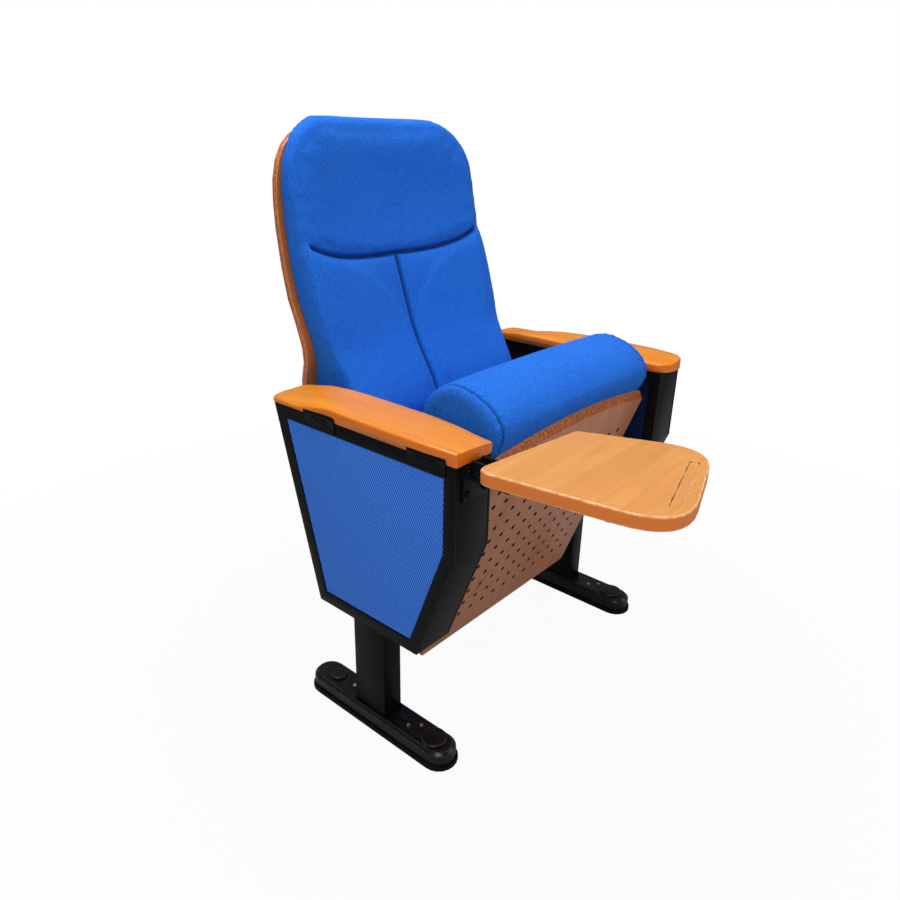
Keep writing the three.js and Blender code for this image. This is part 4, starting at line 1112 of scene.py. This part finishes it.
@dataclass
class FloorStand:
    """A foot with its cover and caps, and the post on it."""

    side: str
    screw: Head = Head(0.0038, 0.0018, drive=6)
    screw_places: tuple[tuple[float, float], ...] = (
        (-0.0075, -0.0315), (0.0075, -0.049), (0.0, 0.114))
    stand_x: float = 0.3005

    def build(self, bench: Workbench) -> None:
        """Dresses the foot and post and adds the cover's screws.

        Args:
            bench: Makes and finishes the pieces.
        """
        side = self.side
        bench.eased(f"{side}_foot_plate", Body.FRAME, BLACK_STEEL, 0.0012)
        bench.eased(f"{side}_foot_cover", Body.FRAME, BLACK_PLASTIC, 0.0016, 3, least=24.0)
        bench.eased(f"{side}_post", Body.FRAME, BLACK_STEEL, 0.0008)
        for end in ("front", "rear"):
            bench.eased(f"{side}_foot_{end}_cap", Body.FRAME, RUBBER, 0.0009, least=22.0)
        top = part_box(f"{side}_foot_cover")[1].z
        middle = SIDES[side] * self.stand_x
        spots = [(bench.at(middle + aside, y, top), UP) for aside, y in self.screw_places]
        bench.fasten(f"{side}_foot_screws", self.screw, spots, Body.FRAME, ZINC)


@dataclass
class SideBox:
    """A side box: covers, trim frames and cloth panels, with the pivot parts inside."""

    side: str

    def build(self, bench: Workbench) -> None:
        """Dresses the box and what it holds.

        Args:
            bench: Makes and finishes the pieces.
        """
        side = self.side
        for part in ("front_cover", "bottom_cover", "rear_cover"):
            bench.eased(f"{side}_box_{part}", Body.FRAME, BLACK_STEEL, 0.0012)
        # The inner panels take the twill darkened with painted shade.
        for face, cloth in (("outer", PANEL), ("inner", SHADED_INNER_PANEL)):
            bench.eased(f"{side}_box_{face}_trim", Body.FRAME, BLACK_STEEL, 0.0014, 3)
            bench.eased(f"{side}_box_{face}_panel", Body.FRAME, cloth, 0.0006)
        bench.dress(ZINC, f"{side}_pivot_plate", f"{side}_return_spring", f"{side}_stop_cam",
                    f"{side}_pivot_pin")
        bench.dress(NYLON, f"{side}_pivot_bush")
        bench.dress(RUBBER, f"{side}_seat_stop")


@dataclass
class SeatCushion:
    """The tipped-up seat: cushion, plywood, steel pan and side arms."""

    board_reach: float = 0.009
    seam_inset: float = 0.013
    seam_depth: float = 0.0034
    seam_width: float = 0.003
    seam_reach: float = 0.008
    wrap_radius: float = 0.3
    pucker_pitch: float = 0.017
    pucker_height: float = 0.0004
    pucker_offset: float = 0.006
    pucker_reach: float = 0.03
    stitch_pitch: float = 0.0085
    stitch_size: tuple[float, float, float] = (0.0007, 0.0007, 0.0028)
    shade: float = 0.6
    padding: Padding = Padding(evening=3, lift=0.003)

    def build(self, bench: Workbench) -> None:
        """Builds the cushion, its seams and the pieces that carry it."""
        outward = Matrix.Rotation(-TIP_UP, 3, "X") @ UP
        bench.eased("seat_shell", Body.SEAT, SEAT_PLY, 0.0005, 1, least=30.0, plies=outward)
        bench.dress(BLACK_STEEL, "seat_pan")
        for side in SIDES:
            bench.eased(f"{side}_seat_arm", Body.SEAT, BLACK_STEEL, 0.0008)
        self.cushion(bench)

    def seam_shift(self, vert: bpy.types.MeshVertex, seams: Sequence[float],
                   middle: Vector) -> float:
        """Returns how far the end seams and their puckers lift the cover at a vertex.

        Args:
            vert: A vertex of the cover.
            seams: Each seam's place along X.
            middle: The cushion's middle.

        Returns:
            The distance outward.
        """
        offset = min((vert.co.x - seam for seam in seams), key=abs)
        if abs(offset) > self.pucker_reach or abs(vert.normal.x) > 0.9:
            return 0.0
        angle = math.atan2(vert.co.z - middle.z, vert.co.y - middle.y)
        wave = math.sin(angle * self.wrap_radius * 2 * math.pi / self.pucker_pitch)
        pucker = self.pucker_height * wave * bell(abs(offset) - self.pucker_offset,
                                                  self.pucker_offset)
        return pucker - self.seam_depth * bell(offset, self.seam_width)

    def cushion(self, bench: Workbench) -> None:
        """Pads the cushion, sinks its end seams and sews them.

        Args:
            bench: Makes and finishes the pieces.
        """
        low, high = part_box("seat_cushion")
        board = bench.surface_of("seat_shell", "seat_pan")

        def held(place: Vector, normal: Vector) -> float:
            """Returns 1 where the cover lies on the board under it."""
            return float(rests_on(board, place, self.board_reach))

        data = self.padding.swell(bench.copy_of("seat_cushion"), held)
        seams = (low.x + self.seam_inset, high.x - self.seam_inset)

        def gap(place: Vector) -> float:
            """Returns the distance from a place to the nearer seam."""
            return min(abs(place.x - seam) for seam in seams)

        refine(data, lambda place: gap(place) < self.seam_reach)
        gaps = [gap(v.co) for v in data.vertices]
        middle = (low + high) / 2
        shift_along_normals(data, [self.seam_shift(v, seams, middle) for v in data.vertices])
        # The end seams' creases get painted shade.
        paint_seam_shade(data, [self.shade * bell(near, self.seam_width) for near in gaps])
        cover = bench.finish_piece("seat_cushion_cover", data, Body.SEAT, CLOTH, ["seat_cushion"])
        for side, x in zip(SIDES, seams):
            self.sew(bench, f"seat_{side}_end_stitches", slice_outline(data, x))

    def sew(self, bench: Workbench, name: str, outline: Sequence[Vector]) -> None:
        """Lays stitches along a seam's outline, as one piece.

        Args:
            bench: Makes and finishes the pieces.
            name: The piece's name.
            outline: The seam's points in order.
        """
        mesh = bmesh.new()
        for place, along in spaced(outline, self.stitch_pitch):
            stitch = bmesh.ops.create_uvsphere(
                mesh, u_segments=6, v_segments=4, radius=1.0)["verts"]
            bmesh.ops.scale(mesh, vec=self.stitch_size, verts=stitch)
            bmesh.ops.transform(mesh, matrix=aim(place, along), verts=stitch)
        soften(mesh, 80.0)
        bench.finish_piece(name, stored(name, mesh), Body.SEAT, THREAD)


@dataclass
class Backrest:
    """The dished plywood back, its sewn cushion and its brackets."""

    board_reach: float = 0.006
    half_width: float = 0.235
    seam_height: float = 0.777
    seam_rise: float = 0.04
    seam_power: float = 3.2
    seam_length: float = 0.214
    seam_depth: float = 0.0065
    seam_width: float = 0.0038
    seam_reach: float = 0.008
    seam_hold: float = 0.8
    seam_hold_reach: float = 0.014
    shade: float = 0.8
    bolt: Head = Head(0.0065, 0.004, sides=6)
    bolt_inset: float = 0.014
    bolt_zs: tuple[float, ...] = (0.454, 0.53)
    padding: Padding = Padding(evening=10, front_evening=130, lift=0.0032)

    def build(self, bench: Workbench) -> None:
        """Builds the cushion and dresses the shell and brackets."""
        bench.eased("back_shell", Body.FRAME, BACK_PLY, 0.0018, 3, least=50.0, plies=BACKWARD)
        for side in SIDES:
            bench.eased(f"{side}_back_bracket", Body.FRAME, BLACK_STEEL, 0.0008)
        self.cushion(bench)
        self.bolts(bench)

    def seam_gap(self, x: float, z: float) -> float:
        """Returns the distance from a place on the front to the nearer of two seams.

        Args:
            x: Place across, from the middle.
            z: Height.

        Returns:
            The distance to the seam across or to the seam down the middle.
        """
        rise = self.seam_rise * (abs(x) / self.half_width) ** self.seam_power
        across = z - self.seam_height - rise
        down = abs(x) if across < 0 else math.hypot(x, across)
        return min(math.hypot(across, max(0.0, abs(x) - self.seam_length)), down)

    def cushion(self, bench: Workbench) -> None:
        """Pads the cushion and sinks its seams.

        Args:
            bench: Makes and finishes the pieces.
        """
        board = bench.surface_of("back_shell")
        centre = bench.middle.x

        def gap(place: Vector) -> float:
            """Returns the distance from a place to the nearer seam."""
            return self.seam_gap(place.x - centre, place.z)

        def held(place: Vector, normal: Vector) -> float:
            """Returns how firmly the cover is held on the shell or in a seam."""
            if rests_on(board, place, self.board_reach):
                return 1.0
            if normal.y > -0.3:
                return 0.0
            return self.seam_hold * max(0.0, 1.0 - gap(place) / self.seam_hold_reach)

        data = self.padding.swell(bench.copy_of("back_cushion"), held)
        refine(data, lambda place: gap(place) < self.seam_reach)
        gaps = [gap(v.co) if v.normal.y < -0.25 else 1.0 for v in data.vertices]
        sunk = [bell(near, self.seam_width) for near in gaps]
        shift_along_normals(data, [-self.seam_depth * share for share in sunk])
        # The seams' creases get painted shade, as deep as they sink.
        paint_seam_shade(data, [self.shade * share for share in sunk])
        cover = bench.finish_piece("back_cushion_cover", data, Body.FRAME, CLOTH, ["back_cushion"])

    def bolts(self, bench: Workbench) -> None:
        """Adds the bolts that hold the shell to its brackets.

        Args:
            bench: Makes and finishes the pieces.
        """
        for side, sign in SIDES.items():
            low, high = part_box(f"{side}_back_bracket")
            wing = bench.surface_of(f"{side}_back_bracket")
            x = (high.x if sign < 0 else low.x) + sign * self.bolt_inset
            hits = [wing.ray_cast(Vector((x, high.y + 0.1, z)), FORWARD) for z in self.bolt_zs]
            spots = [(hit[0], hit[1]) for hit in hits if hit[0] is not None]
            bench.fasten(f"{side}_back_bolts", self.bolt, spots, Body.FRAME, ZINC)


@dataclass
class Armrests:
    """The fixed left armrest and the right armrest that is the tablet box's lid."""

    edge: float = 0.0016

    def build(self, bench: Workbench) -> None:
        """Dresses both armrests, the lid's hinges and the fixed one's plate."""
        bench.eased("left_armrest", Body.FRAME, ARM_WOOD, self.edge, 3, least=24.0)
        bench.eased("right_arm_lid", Body.LID, ARM_WOOD, self.edge, 3, least=24.0)
        bench.dress(BLACK_STEEL, "left_arm_plate")
        for end in ("front", "rear"):
            for part, body in (("flap", Body.LID), ("hinge", Body.FRAME)):
                bench.eased(f"right_lid_{end}_{part}", body, BLACK_STEEL, 0.0004, 1, least=50.0)


@dataclass
class WritingTablet:
    """The tablet board with its pen groove, hinge leaf, arm and bracket."""

    bolt: Head = Head(0.0055, 0.0034, drive=6)
    bolt_inset_x: float = 0.009
    bolt_inset_z: float = 0.01
    base_height: float = 0.052
    base_thickness: float = 0.005
    screw: Head = Head(0.0042, 0.0018, drive=4)
    screw_inset: float = 0.009
    leaf_depth: float = 0.004

    def build(self, bench: Workbench) -> None:
        """Dresses the tablet's pieces and adds their fasteners.

        Args:
            bench: Makes and finishes the pieces.
        """
        bench.eased("tablet_board", Body.BOARD, TABLET_WOOD, 0.0014, 3, least=24.0, plies=UP)
        bench.eased("tablet_hinge_leaf", Body.BOARD, BLACK_STEEL, 0.0006)
        bench.eased("tablet_arm", Body.ARM, BLACK_STEEL, 0.0006, least=40.0)
        bench.eased("tablet_bracket", Body.FRAME, BLACK_STEEL, 0.0008)
        bench.dress(ZINC, "tablet_swing_pin")
        low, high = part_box("tablet_bracket")
        front = high.y - self.base_thickness
        spots = [(Vector((x, front, z)), FORWARD)
                 for x in (low.x + self.bolt_inset_x, high.x - self.bolt_inset_x)
                 for z in (low.z + self.bolt_inset_z,
                           low.z + self.base_height - self.bolt_inset_z)]
        bench.fasten("tablet_bracket_bolts", self.bolt, spots, Body.FRAME, BLACK_STEEL)
        low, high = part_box("tablet_hinge_leaf")
        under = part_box("tablet_board")[0].z - self.leaf_depth
        spots = [(Vector((x, y, under)), DOWN)
                 for x in (low.x + self.screw_inset, high.x - self.screw_inset)
                 for y in (low.y + self.screw_inset, high.y - self.screw_inset)]
        bench.fasten("tablet_leaf_screws", self.screw, spots, Body.BOARD, ZINC)


@dataclass(frozen=True)
class Lamp:
    """A square soft lamp that looks at a height in the seat's middle."""

    name: str
    place: tuple[float, float, float]
    aim_height: float
    size: float
    power: float

    def build(self, bench: Workbench) -> None:
        """Adds the lamp to the scene.

        Args:
            bench: Makes and finishes the pieces.
        """
        data = bpy.data.lights.new(self.name, "AREA")
        data.size = self.size
        data.energy = self.power
        obj = put(self.name, data)
        obj.location = bench.at(*self.place)
        ray = bench.at(0, 0, self.aim_height) - obj.location
        obj.rotation_euler = ray.to_track_quat("-Z", "Y").to_euler()


@dataclass
class Studio:
    """A plain pale floor, soft lamps and the camera."""

    lamps: tuple[Lamp, ...] = (
        Lamp("key lamp", (-2.3, -1.5, 2.6), aim_height=0.6, size=1.6, power=42.0),
        Lamp("top lamp", (0.1, 0.5, 3.0), aim_height=0.5, size=1.6, power=57.0),
        Lamp("fill lamp", (1.6, -2.6, 1.4), aim_height=0.5, size=2.0, power=15.0))
    camera_place: tuple[float, float, float] = (-1.029079, -0.731876, 0.981515)
    turn: float = math.radians(-49.4966)
    tilt: float = math.radians(22.9124)
    roll: float = math.radians(1.05471)
    lens: float = 29.612
    floor_size: float = 14.0
    floor_tone: float = 0.48

    def build(self, bench: Workbench) -> None:
        """Builds the floor, world, lamps and camera."""
        self.floor()
        self.world()
        for lamp in self.lamps:
            lamp.build(bench)
        self.camera(bench)

    def camera(self, bench: Workbench) -> None:
        """Places the camera at the photograph's viewing angle.

        Args:
            bench: Makes and finishes the pieces.
        """
        data = bpy.data.cameras.new("camera")
        data.sensor_width = 36.0
        data.sensor_fit = "HORIZONTAL"
        data.lens = self.lens
        data.clip_start = 0.02
        turned = Matrix.Rotation(self.turn, 4, "Z")
        turned @= Matrix.Rotation(math.pi / 2 - self.tilt, 4, "X")
        turned @= Matrix.Rotation(self.roll, 4, "Z")
        obj = put("camera", data)
        obj.matrix_world = Matrix.Translation(bench.at(*self.camera_place)) @ turned
        bpy.context.scene.camera = obj

    def floor(self) -> None:
        """Lays the pale floor, whose glow only the camera sees."""
        mesh = bmesh.new()
        bmesh.ops.create_grid(mesh, x_segments=1, y_segments=1, size=self.floor_size)
        data = stored("floor", mesh)
        material = bpy.data.materials.new("pale floor")
        material.use_nodes = True
        nodes = material.node_tree.nodes
        sheet = NodeSheet(material.node_tree)
        shader = nodes["Principled BSDF"]
        sheet.give(shader, Base_Color=(*[self.floor_tone] * 3, 1), Roughness=0.8)
        glow = sheet.add("Emission", Color=WHITE, Strength=1.0)
        seen = sheet.add("LightPath").outputs["Is Camera Ray"]
        place = sheet.add("TexCoord").outputs["Object"]
        away = sheet.add("VectorMath", {"operation": "LENGTH"}, Vector=place).outputs["Value"]
        share = sheet.times(seen, sheet.span(away, 0.5, 1.6, 0.95, 1.0))
        mixed = sheet.add("MixShader", Fac=share)
        sheet.feed(mixed.inputs[1], shader.outputs[0])
        sheet.feed(mixed.inputs[2], glow.outputs[0])
        sheet.give(nodes["Material Output"], Surface=mixed.outputs[0])
        data.materials.append(material)
        put("floor", data)

    def world(self) -> None:
        """Sets an even pale surround that lights the seat only a little."""
        world = bpy.data.worlds.new("surround")
        bpy.context.scene.world = world
        world.use_nodes = True
        sheet = NodeSheet(world.node_tree)
        rays = sheet.add("LightPath").outputs
        seen = sheet.math("MAXIMUM", rays["Is Camera Ray"], rays["Is Transmission Ray"])
        sheet.give(world.node_tree.nodes["Background"], Color=WHITE,
                   Strength=sheet.span(seen, 0, 1, 0.2, 1.0))


def main(frame: dict) -> None:
    """Builds the seat's sub-assemblies and the studio in order.
    """
    logging.basicConfig(level=logging.INFO, format="%(relativeCreated)7d %(message)s")
    bpy.context.scene.view_settings.view_transform = "Standard"
    bench = Workbench(frame)
    for side in SIDES:
        FloorStand(side).build(bench)
        SideBox(side).build(bench)
    SeatCushion().build(bench)
    Backrest().build(bench)
    Armrests().build(bench)
    WritingTablet().build(bench)
    Studio().build(bench)
    log.info("%d dressed pieces", bench.count)


if __name__ == "__main__":
    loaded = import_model()
    main(loaded)
